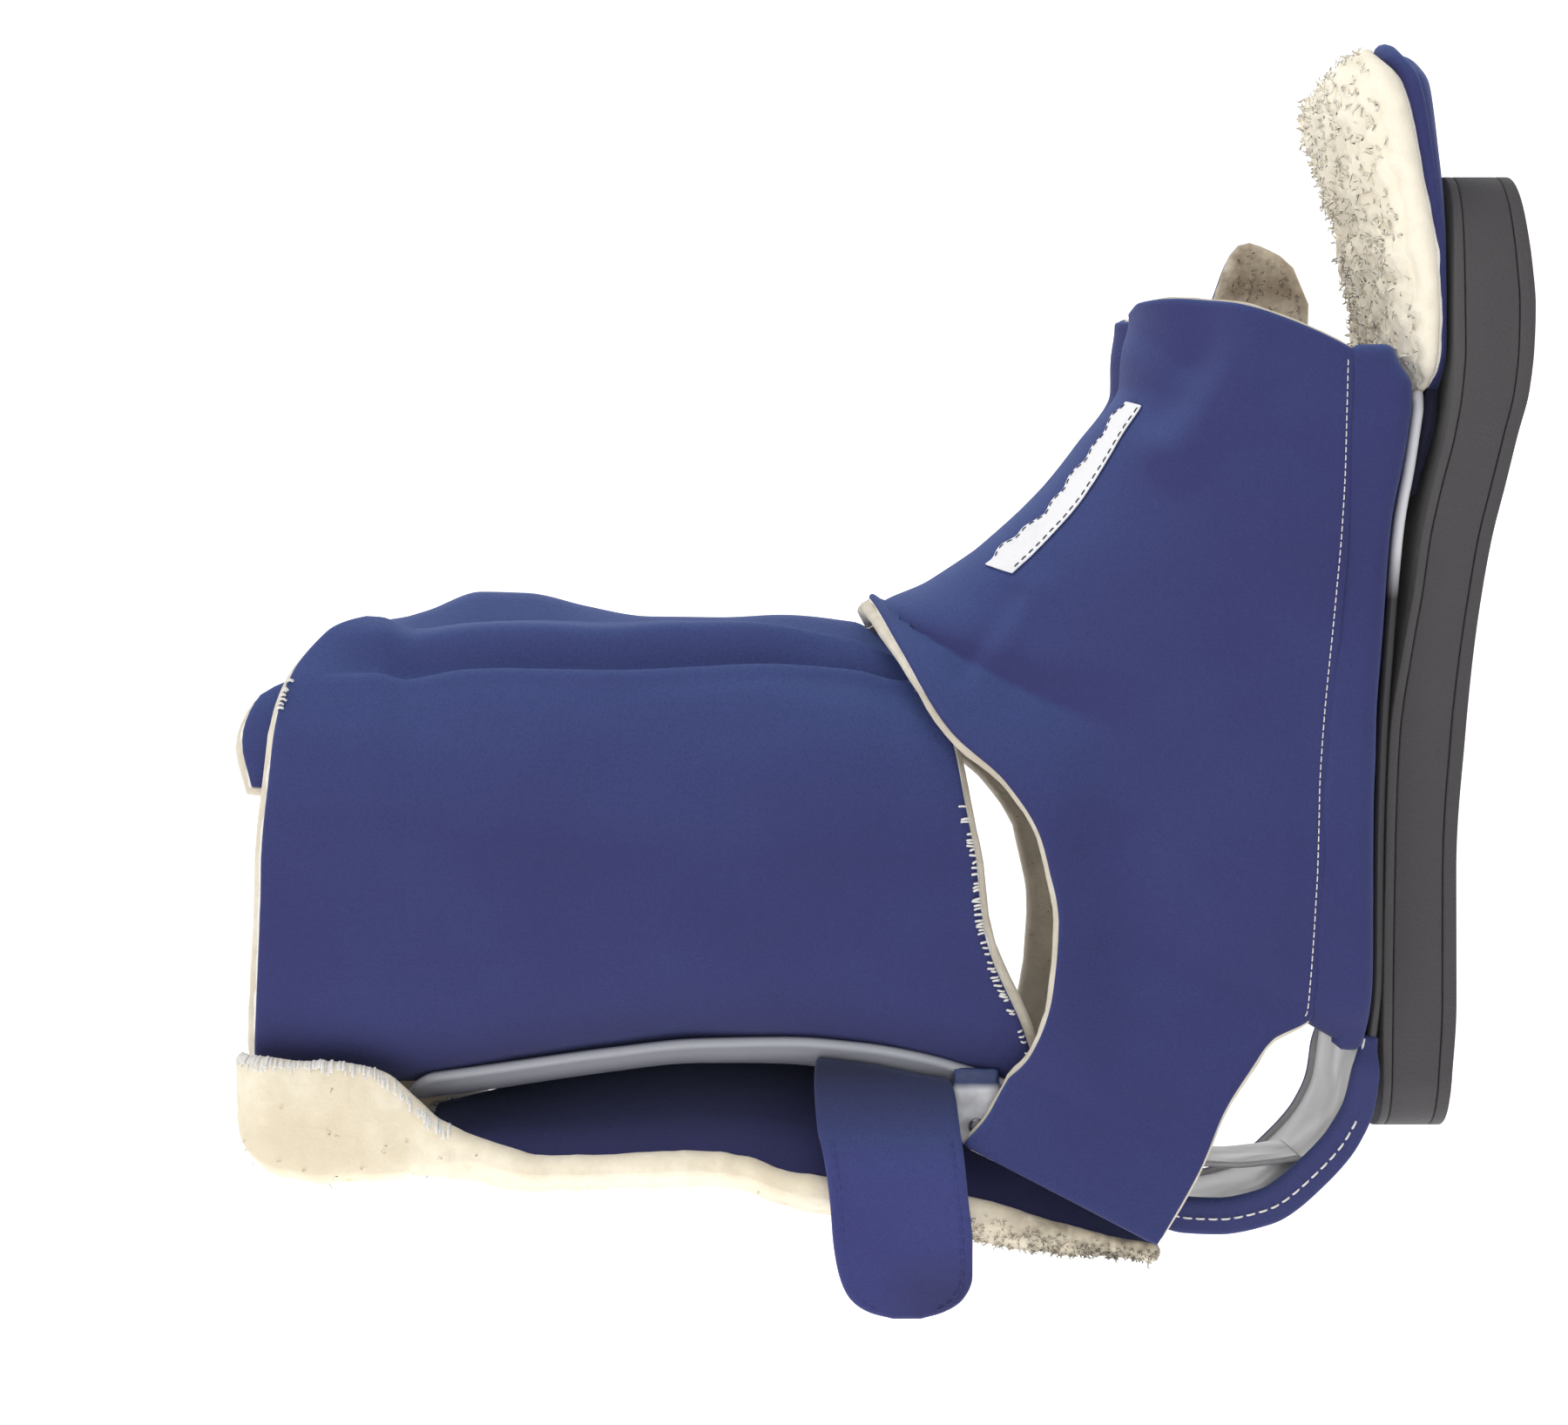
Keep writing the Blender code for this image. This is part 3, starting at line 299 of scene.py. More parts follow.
SoleRow = namedtuple("SoleRow", "z front back half")
SOLE_ROWS = [
    SoleRow(1.372, 1.352, 1.625, 0.40),
    SoleRow(1.364, 1.350, 1.634, 0.60),
    SoleRow(1.345, 1.349, 1.640, 0.76),
    SoleRow(1.310, 1.348, 1.650, 0.88),
    SoleRow(1.260, 1.347, 1.662, 0.96),
    SoleRow(1.187, 1.345, 1.680, 1.00),
    SoleRow(1.103, 1.345, 1.694, 1.01),
    SoleRow(1.019, 1.347, 1.687, 1.02),
    SoleRow(0.934, 1.334, 1.665, 1.02),
    SoleRow(0.850, 1.306, 1.617, 1.01),
    SoleRow(0.752, 1.252, 1.566, 0.99),
    SoleRow(0.653, 1.207, 1.513, 0.97),
    SoleRow(0.548, 1.177, 1.473, 0.95),
    SoleRow(0.435, 1.134, 1.440, 0.93),
    SoleRow(0.256, 1.077, 1.402, 0.92),
    SoleRow(0.006, 1.060, 1.366, 0.92),
    SoleRow(-0.378, 1.050, 1.366, 0.93),
    SoleRow(-0.600, 1.049, 1.347, 0.93),
    SoleRow(-0.680, 1.049, 1.341, 0.88),
    SoleRow(-0.730, 1.049, 1.337, 0.78),
    SoleRow(-0.755, 1.049, 1.334, 0.64),
    SoleRow(-0.765, 1.049, 1.333, 0.45),
]
SOLE_LAYERS = [
    ("sole_top", 0.0, 0.13, RUBBER_TOP),
    ("sole_middle", 0.13, 0.80, RUBBER),
    ("sole_tread", 0.80, 1.0, RUBBER),
]

LABEL_ROWS = (2.35, 5.45)
LABEL_ACROSS = (0.64, 0.82)
LABEL_THICK = 0.0006
LABEL_LIFT = 0.0012

StripRow = namedtuple("StripRow", "x z")
HEEL_STRIP_ROWS = [
    StripRow(0.080, -0.953),
    StripRow(0.200, -0.905),
    StripRow(0.330, -0.882),
    StripRow(0.460, -0.886),
    StripRow(0.600, -0.878),
    StripRow(0.735, -0.864),
]
HEEL_STRIP_HALF = 0.36
HEEL_STRIP_THICK = 0.0016
HEEL_STRIP_ROUNDS = 9

CLIP_LEFT = -0.205
CLIP_RIGHT = -0.163
CLIP_TOP = -0.585
CLIP_LOW = -0.800
CLIP_THICK = 0.0022
CLIP_ROUNDS = 6
RIVET_R = 0.0024
RIVET_HEIGHT = 0.0012
RIVET_SIDES = 16

PX = 4168.0
CAMERA_AT = (-0.103, -1.100, 0.047)
SENSOR = 36.0
PHOTO_WIDTH = 1800.0

CLEAR_FADE = 0.028
TOP_CORNER = 0.15

LOOP = 0.0008
THREAD = 0.00030


def curve(keys, values):
    """A smooth curve through the values that never overshoots them, as a function of arrays."""
    keys = np.asarray(keys, float)
    values = np.asarray(values, float)
    if keys[0] > keys[-1]:
        keys, values = keys[::-1], values[::-1]
    steps = np.diff(values) / np.diff(keys)
    before, after = steps[:-1], steps[1:]
    alike = before * after > 0
    inner = np.where(alike, 2.0 * before * after / np.where(alike, before + after, 1.0), 0.0)
    slope = np.concatenate([steps[:1], inner, steps[-1:]])

    def at(x):
        x = np.clip(x, keys[0], keys[-1])
        i = np.clip(np.searchsorted(keys, x) - 1, 0, len(keys) - 2)
        span = keys[i + 1] - keys[i]
        t = (x - keys[i]) / span
        t2 = t * t
        t3 = t2 * t
        return (
            values[i] * (2.0 * t3 - 3.0 * t2 + 1.0)
            + slope[i] * span * (t3 - 2.0 * t2 + t)
            + values[i + 1] * (3.0 * t2 - 2.0 * t3)
            + slope[i + 1] * span * (t3 - t2)
        )

    return at


def read(rows, key, value, at):
    return curve([getattr(row, key) for row in rows], [getattr(row, value) for row in rows])(at)


def row_at(rows, value, place):
    return curve(range(len(rows)), [getattr(row, value) for row in rows])(place)


def side_x(share):
    return share * np.where(share < 0, LEG, FOOT)


def side_z(share):
    return share * np.where(share < 0, DROP, RISE)


def x_share_of(x):
    return x / np.where(x < 0, LEG, FOOT)


def ease(t):
    t = np.clip(t, 0.0, 1.0)
    return t * t * (3.0 - 2.0 * t)


def unit(v):
    return v / np.maximum(np.linalg.norm(v, axis=-1, keepdims=True), 1e-12)


def noise(points, size, seed, octaves=1):
    """Smooth noise from -1 to 1 on points in metres, with lumps of a size."""
    total = np.zeros(points.shape[:-1])
    weight = 1.0
    for octave in range(octaves):
        p = points / size * 2.0**octave + 17.3 * seed
        cell = np.floor(p).astype(np.int64)
        f = p - cell
        f = f * f * (3.0 - 2.0 * f)
        for corner in range(8):
            step = np.array([corner & 1, corner >> 1 & 1, corner >> 2 & 1])
            at = cell + step
            mixed = at[..., 0] * 73856093 ^ at[..., 1] * 19349663 ^ at[..., 2] * 83492791 ^ (seed + octave) * 2654435
            mixed = (mixed ^ (mixed >> 13)) * 1274126177 & 0xFFFFFFFF
            value = ((mixed ^ (mixed >> 15)) & 0xFFFF) / 32767.5 - 1.0
            share = np.where(step, f, 1.0 - f).prod(axis=-1)
            total += weight * value * share
        weight *= 0.5
    return total


def normals(grid):
    return unit(np.cross(np.gradient(grid, axis=0), np.gradient(grid, axis=1)))


def offset(grid, distance):
    return grid + normals(grid) * np.asarray(distance)[..., None]


def rim_of(rows, columns):
    """The places of the grid's edge, in order round it."""
    top = [(0, j) for j in range(columns)]
    right = [(i, columns - 1) for i in range(1, rows)]
    bottom = [(rows - 1, j) for j in range(columns - 2, -1, -1)]
    left = [(i, 0) for i in range(rows - 2, 0, -1)]
    return np.array(top + right + bottom + left)


def sheet_faces(rows, columns, start=0):
    at = np.arange(rows * columns).reshape(rows, columns) + start
    return np.stack([at[:-1, :-1], at[:-1, 1:], at[1:, 1:], at[1:, :-1]], axis=-1).reshape(-1, 4)


def shell(outer, inner, steps=3, corner=None):
    """A closed body between two grids: points and faces. Its rim is round, or flat with small corners."""
    rows, columns = outer.shape[:2]
    rim = rim_of(rows, columns)
    middle = (outer + inner) / 2.0
    out = np.zeros_like(middle)
    out[0] += unit(middle[0] - middle[1])
    out[-1] += unit(middle[-1] - middle[-2])
    out[:, 0] += unit(middle[:, 0] - middle[:, 1])
    out[:, -1] += unit(middle[:, -1] - middle[:, -2])
    i, j = rim[:, 0], rim[:, 1]
    reach = ((outer - inner) / 2.0)[i, j]
    ring = middle[i, j]
    away = unit(np.cross(np.roll(ring, -1, axis=0) - np.roll(ring, 1, axis=0), reach))
    away = away * np.where((away * out[i, j]).sum(axis=-1, keepdims=True) < 0.0, -1.0, 1.0)
    size = np.linalg.norm(reach, axis=-1, keepdims=True)
    loops = []
    if corner is None:
        for turn in np.pi * np.arange(1, steps + 1) / (steps + 1):
            loops.append(ring + np.cos(turn) * reach + np.sin(turn) * size * away)
    else:
        small = np.minimum(corner, size)
        turns = np.radians((30.0, 60.0, 90.0))
        for side, angles in ((1.0, turns), (-1.0, turns[::-1])):
            for turn in angles:
                along = side * unit(reach) * (size - small + small * np.cos(turn))
                loops.append(ring + along + away * small * np.sin(turn))
        steps = len(loops)
    count = rows * columns
    points = np.concatenate([outer.reshape(-1, 3), inner.reshape(-1, 3)] + loops)
    rings = [i * columns + j]
    rings += [2 * count + np.arange(len(rim)) + len(rim) * k for k in range(steps)]
    rings.append(count + i * columns + j)
    faces = [sheet_faces(rows, columns)[:, ::-1], sheet_faces(rows, columns, count)]
    for first, second in zip(rings, rings[1:]):
        faces.append(np.stack([first, np.roll(first, -1), np.roll(second, -1), second], axis=-1))
    return points, [np.concatenate(faces)]


def piece(name, points, faces, paint, turn=True):
    """An object from points and a list of face arrays, each with one number of corners."""
    mesh = bpy.data.meshes.new(name)
    mesh.vertices.add(len(points))
    mesh.vertices.foreach_set("co", np.asarray(points, np.float32).ravel())
    totals = np.concatenate([np.full(len(block), block.shape[1]) for block in faces])
    corners = np.concatenate([block.ravel() for block in faces])
    mesh.loops.add(len(corners))
    mesh.loops.foreach_set("vertex_index", corners.astype(np.int32))
    mesh.polygons.add(len(totals))
    starts = np.concatenate([[0], np.cumsum(totals)[:-1]])
    mesh.polygons.foreach_set("loop_start", starts.astype(np.int32))
    mesh.polygons.foreach_set("loop_total", totals.astype(np.int32))
    mesh.update(calc_edges=True)
    mesh.polygons.foreach_set("use_smooth", [True] * len(totals))
    mesh.materials.append(paint)
    made = bpy.data.objects.new(name, mesh)
    bpy.context.scene.collection.objects.link(made)
    first, second, third = (points[block[:, k]] for block in faces[:1] for k in (0, 1, 2))
    if turn and (first * np.cross(second, third)).sum() < 0:
        mesh.flip_normals()
    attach(made, "root")
    return made


def join(parts):
    """One set of points and faces from several."""
    points = []
    blocks = {}
    start = 0
    for part_points, part_faces in parts:
        points.append(part_points)
        for block in part_faces:
            blocks.setdefault(block.shape[1], []).append(block + start)
        start += len(part_points)
    return np.concatenate(points), [np.concatenate(found) for found in blocks.values()]


def tube(line, radius, sides=6):
    """A closed tube along a line of points, with a radius for each point or for all."""
    line = np.asarray(line, float)
    count = len(line)
    radius = np.broadcast_to(np.asarray(radius, float), (count,)).copy()
    ahead = unit(np.gradient(line, axis=0))
    across = np.cross(ahead[0], (0.31, 0.52, 0.79))
    sides_at = []
    for k in range(count):
        across = unit(across - ahead[k] * (across * ahead[k]).sum())
        up = np.cross(ahead[k], across)
        angle = np.arange(sides) * 2.0 * np.pi / sides
        ring = np.cos(angle)[:, None] * across + np.sin(angle)[:, None] * up
        sides_at.append(line[k] + ring * radius[k])
    points = np.concatenate(sides_at + [line[:1] - ahead[:1] * radius[0] * 0.6, line[-1:] + ahead[-1:] * radius[-1] * 0.6])
    at = np.arange(count * sides).reshape(count, sides)
    quads = np.stack([at[:-1], np.roll(at[:-1], -1, axis=1), np.roll(at[1:], -1, axis=1), at[1:]], axis=-1)
    first, last = count * sides, count * sides + 1
    start_cap = np.stack([np.roll(at[0], -1), at[0], np.full(sides, first)], axis=-1)
    end_cap = np.stack([at[-1], np.roll(at[-1], -1), np.full(sides, last)], axis=-1)
    return points, [quads.reshape(-1, 4), np.concatenate([start_cap, end_cap])]


def resample(line, step):
    """Points at an even step along a line."""
    line = np.asarray(line, float)
    gone = np.concatenate([[0.0], np.cumsum(np.linalg.norm(np.diff(line, axis=0), axis=1))])
    count = max(2, int(round(gone[-1] / step)) + 1)
    at = np.linspace(0.0, gone[-1], count)
    return np.stack([np.interp(at, gone, line[:, k]) for k in range(3)], axis=-1)


def stitches(line, up, length, gap, radius=THREAD):
    """A run of sewn stitches on a line, with up as the direction off the cloth at each point."""
    both = np.concatenate([np.asarray(line), np.asarray(up)], axis=-1)
    gone = np.concatenate([[0.0], np.cumsum(np.linalg.norm(np.diff(both[:, :3], axis=0), axis=1))])
    parts = []
    start = 0.0
    while start + length < gone[-1]:
        at = start + length * np.array([0.0, 0.12, 0.35, 0.65, 0.88, 1.0])
        run = np.stack([np.interp(at, gone, both[:, k]) for k in range(6)], axis=-1)
        rise = radius * np.array([-0.9, 0.3, 0.75, 0.75, 0.3, -0.9])
        parts.append(tube(run[:, :3] + unit(run[:, 3:]) * rise[:, None], radius, 5))
        start += length + gap
    return parts


def overlock(line, up, into, pitch, width, depth, radius=THREAD, seed=1, kept=1.0):
    """Thread loops over a raw edge, a share of them kept: up is off the cloth and into is from its edge inwards."""
    rng = np.random.default_rng(seed)
    whole = np.concatenate([line, unit(up), unit(into)], axis=-1)
    gone = np.concatenate([[0.0], np.cumsum(np.linalg.norm(np.diff(line, axis=0), axis=1))])
    ahead = unit(np.gradient(line, axis=0))
    whole = np.concatenate([whole, ahead], axis=-1)
    parts = []
    for at in np.arange(0.0, gone[-1] - pitch, pitch):
        row = np.array([np.interp(at, gone, whole[:, k]) for k in range(12)])
        p, n, w, t = row[:3], row[3:6], row[6:9], row[9:]
        reach = width * (0.55 + 0.9 * rng.random())
        lean = pitch * (0.9 * rng.random() - 0.1)
        if rng.random() > kept:
            continue
        shape = [
            p + w * reach + n * radius * 0.2 - t * lean,
            p + w * reach * 0.55 + n * radius * 1.7 - t * lean * 0.4,
            p - w * radius * 0.6 + n * radius * 0.9,
            p - w * radius * 1.6 - n * depth * 0.5 + t * lean * 0.3,
            p - w * radius * 0.4 - n * depth + t * lean * 0.7,
        ]
        parts.append(tube(np.array(shape), radius * (0.85 + 0.3 * rng.random()), 5))
    return parts


def curls(grid, count, length, radius, seed, keep=None, lean=0.8):
    """A curly pile on a grid of points, grown along its normals: thin tapered locks."""
    rng = np.random.default_rng(seed)
    a, b, c, d = grid[:-1, :-1], grid[:-1, 1:], grid[1:, 1:], grid[1:, :-1]
    area = np.linalg.norm(np.cross(c - a, d - b), axis=-1)
    if keep is not None:
        area = area * keep((a + c) / 2.0)
    share = area.ravel() / area.sum()
    cell = rng.choice(len(share), size=count, p=share)
    u, v = rng.random((2, count, 1))
    flat = [corner.reshape(-1, 3)[cell] for corner in (a, b, c, d)]
    up = normals(grid)
    turned = [up[:-1, :-1], up[:-1, 1:], up[1:, 1:], up[1:, :-1]]
    turned = [corner.reshape(-1, 3)[cell] for corner in turned]
    weights = [(1 - u) * (1 - v), (1 - u) * v, u * v, u * (1 - v)]
    root = sum(weight * corner for weight, corner in zip(weights, flat))
    n = unit(sum(weight * corner for weight, corner in zip(weights, turned)))
    drift = np.stack([noise(root, 0.006, seed + k, 2) for k in range(3)], axis=-1)
    loose = rng.normal(size=(count, 3)) * 0.55
    t = unit(drift + loose - n * ((drift + loose) * n).sum(axis=-1, keepdims=True))
    s = np.cross(n, t)
    size = length * (0.6 + 0.8 * rng.random((count, 1)))
    phase = rng.random((count, 1)) * 2.0 * np.pi
    rings = []
    shares = (0.0, 0.36, 0.72, 1.0)
    for k, part in enumerate(shares):
        swing = phase + 4.2 * part
        bend = size * lean * part
        bow = size * 0.34 * np.sin(np.pi * part)
        middle = root + n * size * (0.72 * part - 0.10) + t * bend + (np.cos(swing) * t + np.sin(swing) * s) * bow
        if k == len(shares) - 1:
            rings.append(middle)
            break
        thick = radius * (1.0 - 0.35 * part)
        for corner in range(3):
            angle = corner * 2.0 * np.pi / 3.0 + phase
            rings.append(middle + (np.cos(angle) * s + np.sin(angle) * (n * 0.6 + t * 0.4)) * thick)
    points = np.stack(rings, axis=1)
    each = points.shape[1]
    start = (np.arange(count) * each)[:, None]
    quads = []
    for k in range(2):
        for corner in range(3):
            after = (corner + 1) % 3
            row = np.array([3 * k + corner, 3 * k + after, 3 * k + 3 + after, 3 * k + 3 + corner])
            quads.append(start + row)
    tips = [start + np.array([6 + corner, 6 + (corner + 1) % 3, 9]) for corner in range(3)]
    return points.reshape(-1, 3), [np.concatenate(quads), np.concatenate(tips)]


def spread(first, last, count):
    return np.linspace(first, last, count)


def mesh_of(first, second):
    return np.meshgrid(first, second, indexing="ij")


def leg_share(x, column):
    return read(LEG_ROWS, "x", column, x_share_of(x))


def flank(x, y):
    """The leg wrap's depth below the axis at a distance across, as a share of its middle depth."""
    share = np.minimum(FLANK_MOST, np.abs(y) / (leg_share(x, "half") * HALF))
    return (1.0 - share**ROUND_UNDER) ** (1.0 / ROUND_UNDER)


def leg_under(x):
    """The leg wrap's depth below the axis, such that it rests on the frame's two edges."""
    edge = -read(FRAME_ROWS, "x", "z", x_share_of(x)) * DROP - REST
    half = read(FRAME_ROWS, "x", "half", np.maximum(FRAME_FULL, x_share_of(x))) * HALF
    return edge / flank(x, half)


CreaseRow = namedtuple("CreaseRow", "x turn depth")
SHIN_CREASE = [
    CreaseRow(-0.930, 134.0, 0.0),
    CreaseRow(-0.874, 136.5, 0.5),
    CreaseRow(-0.753, 139.7, 0.9),
    CreaseRow(-0.613, 138.2, 1.0),
    CreaseRow(-0.503, 141.6, 0.9),
    CreaseRow(-0.402, 145.0, 0.95),
    CreaseRow(-0.302, 147.0, 0.9),
    CreaseRow(-0.245, 149.0, 0.6),
]
SHIN_DEPTH = 0.0034
SHIN_ABOVE = 7.0
SHIN_BELOW = 1.3
SHIN_LIP = 0.0010
SHIN_LIP_AT = 3.6
SHIN_LIP_SPREAD = 3.4
SHIN_RIDGE = 0.0016
SHIN_RIDGE_AT = 13.0
SHIN_RIDGE_SPREAD = 4.5
SHIN_FROM = 122


def shin_crease(x, turn):
    """How far the near flap stands off its plain surface beside the crease along the shin."""
    share = x_share_of(x)
    middle = read(SHIN_CREASE, "x", "turn", share)
    depth = read(SHIN_CREASE, "x", "depth", share)
    gone = turn - middle
    spread_at = np.where(gone > 0.0, SHIN_ABOVE, SHIN_BELOW)
    valley = -SHIN_DEPTH * np.exp(-((gone / spread_at) ** 2))
    lip = SHIN_LIP * np.exp(-(((gone + SHIN_LIP_AT) / SHIN_LIP_SPREAD) ** 2))
    ridge = SHIN_RIDGE * np.exp(-(((gone - SHIN_RIDGE_AT) / SHIN_RIDGE_SPREAD) ** 2))
    return depth * (valley + lip + ridge) * np.where(turn > 0.0, 1.0, 0.0)


def leg_surface(x, turn, out):
    """The leg wrap. Turn is in degrees from the bottom, positive up the near side."""
    angle = np.radians(turn)
    hidden = ease((UNDER_FROM - turn) / (UNDER_FROM - UNDER_TO))
    near_top = leg_share(x, "near_top")
    far_top = leg_share(x, "far_top")
    lean = np.where(turn > 0, 1.0, hidden)
    top = (far_top + (near_top - far_top) * lean) * RISE
    raised = -np.cos(angle)
    aside = -np.sin(angle)
    out = out - STEP * hidden
    seen = np.where(hidden > 0, turn + 360.0, turn)
    for fold in LEG_FOLDS:
        out = out - fold.depth * np.exp(-(((seen - fold.turn) / fold.spread) ** 2))
    out = out + shin_crease(x, turn)
    half = leg_share(x, "half") * HALF + out
    tall = np.where(raised > 0, top, leg_under(x)) + out
    power = 2.0 / np.where(raised > 0, ROUND_OVER, ROUND_UNDER)
    y = np.sign(aside) * np.abs(aside) ** power * half
    z = np.sign(raised) * np.abs(raised) ** power * tall
    return np.stack([x, y, z], axis=-1)


def leg_sheet(out, beyond, rows, columns, wave=0.0):
    fine = columns // 3
    turns = np.concatenate([spread(FAR_TURN, SHIN_FROM, columns - fine)[:-1], spread(SHIN_FROM, FREE_TURN, fine + 1)])
    place, turn = mesh_of(spread(0.0, 1.0, rows), turns)
    start = read(LEG_ENDS, "turn", "start", turn) * LEG - beyond
    end = read(LEG_ENDS, "turn", "end", turn) * LEG + beyond
    x = start + (end - start) * place
    grid = leg_surface(x, turn, out)
    if wave:
        grid = leg_surface(x, turn, out + wave * noise(grid * (1.0, 1.6, 1.6), 0.045, 3, 2))
    return grid


def clear_of_leg(x, y, z, clearance):
    half = leg_share(x, "half") * HALF + clearance
    top = np.maximum(leg_share(x, "near_top"), leg_share(x, "far_top")) * RISE
    tall = np.where(z > 0, top, leg_under(x)) + clearance
    power = np.where(z > 0, ROUND_OVER, ROUND_UNDER)
    depth = ((np.abs(y) / half) ** power + (np.abs(z) / tall) ** power) ** (1.0 / power)
    pushed = ease(-x / CLEAR_FADE) * (1.0 / np.clip(depth, 0.2, 1.0) - 1.0)
    held = 1.0 / (1.0 + pushed)
    return np.stack([x, y / held, z / held], axis=-1)


def crest_inward(place):
    ends = []
    for near in (place - 0.5, place + 0.5):
        ends.append((side_x(row_at(PANEL_ROWS, "left_x", near)), side_z(row_at(PANEL_ROWS, "left_z", near))))
    run_x = ends[1][0] - ends[0][0]
    run_z = ends[1][1] - ends[0][1]
    length = np.hypot(run_x, run_z)
    return -run_z / length, run_x / length


def panel_surface(place, share, far):
    """A foot wrap panel's outer face: near or far side, wound over the instep."""
    right_x = side_x(row_at(PANEL_ROWS, "right_x", place))
    right_z = side_z(row_at(PANEL_ROWS, "right_z", place))
    left_x = side_x(row_at(PANEL_ROWS, "left_x", place))
    left_z = side_z(row_at(PANEL_ROWS, "left_z", place))
    near_turn = row_at(PANEL_ROWS, "near_turn", place)
    turn = row_at(PANEL_ROWS, "far_turn", place) if far else near_turn
    half = row_at(PANEL_ROWS, "half", place) * HALF
    power = 2.0 / ROUND_FOOT
    angle = turn * share
    sine = np.sin(np.radians(angle))
    cosine = np.cos(np.radians(angle))
    whole = np.sin(np.radians(np.minimum(near_turn, 90.0))) ** power
    fraction = np.maximum(sine, 0.0) ** power / whole
    hidden = ease((angle - UNDER_START) / UNDER_RAMP) if far else 0.0 * angle
    half = half - UNDER_STEP * hidden
    right_x = right_x - SEAT
    into_x, into_z = crest_inward(place)
    x = right_x + (left_x - right_x) * fraction + into_x * UNDER_STEP * hidden
    climb = np.minimum(fraction, 1.0)
    z = right_z + (left_z - right_z) * climb
    z = z + row_at(PANEL_ROWS, "bow", place) * 4.0 * climb * (1.0 - climb) + into_z * UNDER_STEP * hidden
    y = np.sign(cosine) * np.abs(cosine) ** power * half
    if far:
        lift = np.maximum(0.0, 1.0 - place / PANEL_CUT) * FAR_PEAK
        z = z + lift * np.exp(-(((climb - FAR_PEAK_AT) / FAR_PEAK_SPREAD) ** 4))
    return clear_of_leg(x, y if far else -y, z, STEP + SEAT)


CREASES = [
    (0.0030, 0.0085, [(0.030, 0.166), (0.0315, 0.156), (0.024, 0.140), (0.010, 0.124)]),
    (-0.0016, 0.0070, [(0.019, 0.166), (0.020, 0.150), (0.010, 0.134)]),
    (-0.0020, 0.0060, [(-0.002, 0.163), (0.006, 0.156), (0.012, 0.150)]),
    (-0.0012, 0.0040, [(-0.036, 0.081), (-0.043, 0.070), (-0.051, 0.059)]),
    (0.0010, 0.0050, [(-0.030, 0.083), (-0.038, 0.070), (-0.046, 0.058)]),
    (-0.0008, 0.0060, [(0.050, 0.062), (0.049, 0.020), (0.046, -0.020)]),
]


def creased(grid, amount):
    """The distance that the creases lift or sink each point, by its place in the side view."""
    total = np.zeros(grid.shape[:-1])
    flat = grid[..., [0, 2]]
    for depth, spread_at, line in CREASES:
        nearest = np.full(total.shape, 9.0)
        for first, second in zip(line, line[1:]):
            first, second = np.array(first), np.array(second)
            run = second - first
            t = np.clip(((flat - first) @ run) / (run @ run), 0.0, 1.0)
            nearest = np.minimum(nearest, np.linalg.norm(flat - first - t[..., None] * run, axis=-1))
        total = total + depth * np.exp(-((nearest / spread_at) ** 2))
    return total * amount


def panel_sheet(far, rows, columns, low=0.0, high=1.0, first=0.0, last=None):
    last = len(PANEL_ROWS) - 1 if last is None else last
    place, share = mesh_of(spread(first, last, rows), spread(low, high, columns))
    turn = row_at(PANEL_ROWS, "far_turn" if far else "near_turn", place) * share
    drop = TOP_CORNER * ease((turn - 66.0) / 12.0) * np.clip(1.0 - place / 2.0, 0.0, 1.0)
    return panel_surface(place + drop, share, far)


def frame_line(place, drop=1.0):
    """The frame's inner middle line, outward direction, half width and cup at places along it."""
    step = 0.02
    x = side_x(row_at(FRAME_ROWS, "x", place))
    z = side_z(row_at(FRAME_ROWS, "z", place))
    run_x = side_x(row_at(FRAME_ROWS, "x", place + step)) - side_x(row_at(FRAME_ROWS, "x", place - step))
    run_z = side_z(row_at(FRAME_ROWS, "z", place + step)) - side_z(row_at(FRAME_ROWS, "z", place - step))
    length = np.hypot(run_x, run_z)
    half = row_at(FRAME_ROWS, "half", place) * HALF
    cup = row_at(FRAME_ROWS, "cup", place) * drop
    return x, z, half, cup, run_z / length, -run_x / length


def frame_sheet(out, rows, columns):
    place, share = mesh_of(spread(0, len(FRAME_ROWS) - 1, rows), spread(-1.0, 1.0, columns))
    x, z, half, cup, out_x, out_z = frame_line(place)
    y = share * half
    cupped = -leg_under(x) * flank(x, y) - REST
    level = z + (cupped - z) * cup
    return np.stack([x + out_x * out, y, level + out_z * out], axis=-1)


def fold_sheet(rows, columns):
    """The calf fold's upper face. Columns run from the near edge across to the far edge."""
    place = spread(0, len(FOLD_ROWS) - 1, rows)[:, None]
    x = side_x(row_at(FOLD_ROWS, "x", place))
    middle = side_z(row_at(FOLD_ROWS, "middle", place))
    corner = row_at(FOLD_ROWS, "corner", place) * DROP
    lip = row_at(FOLD_ROWS, "lip", place) * DROP
    half = row_at(FOLD_ROWS, "half", place) * HALF
    rise = [0.0] + [row.up for row in LIP_ROWS]
    aside = [0.0] + [row.aside for row in LIP_ROWS]
    up = spread(0.0, 1.0, 8)[None, 1:]
    share = spread(0.0, 1.0, columns)[None, :]
    flat_y = share * half
    flat_z = middle + (corner - middle) * share**FOLD_SAG
    lip_y = half + lip * np.interp(up, rise, aside)
    lip_z = corner + lip * up
    y = np.concatenate([flat_y, lip_y], axis=1)
    z = np.concatenate([flat_z, lip_z], axis=1)
    y = np.concatenate([-y[:, ::-1], y[:, 1:]], axis=1)
    z = np.concatenate([z[:, ::-1], z[:, 1:]], axis=1)
    return np.stack([x + 0.0 * y, y, z], axis=-1)


def plate_x(z):
    rows = [row for row in FRAME_ROWS if row.x > FOOTPLATE_FROM]
    return read(rows, "z", "x", z / np.where(z < 0, DROP, RISE)) * FOOT


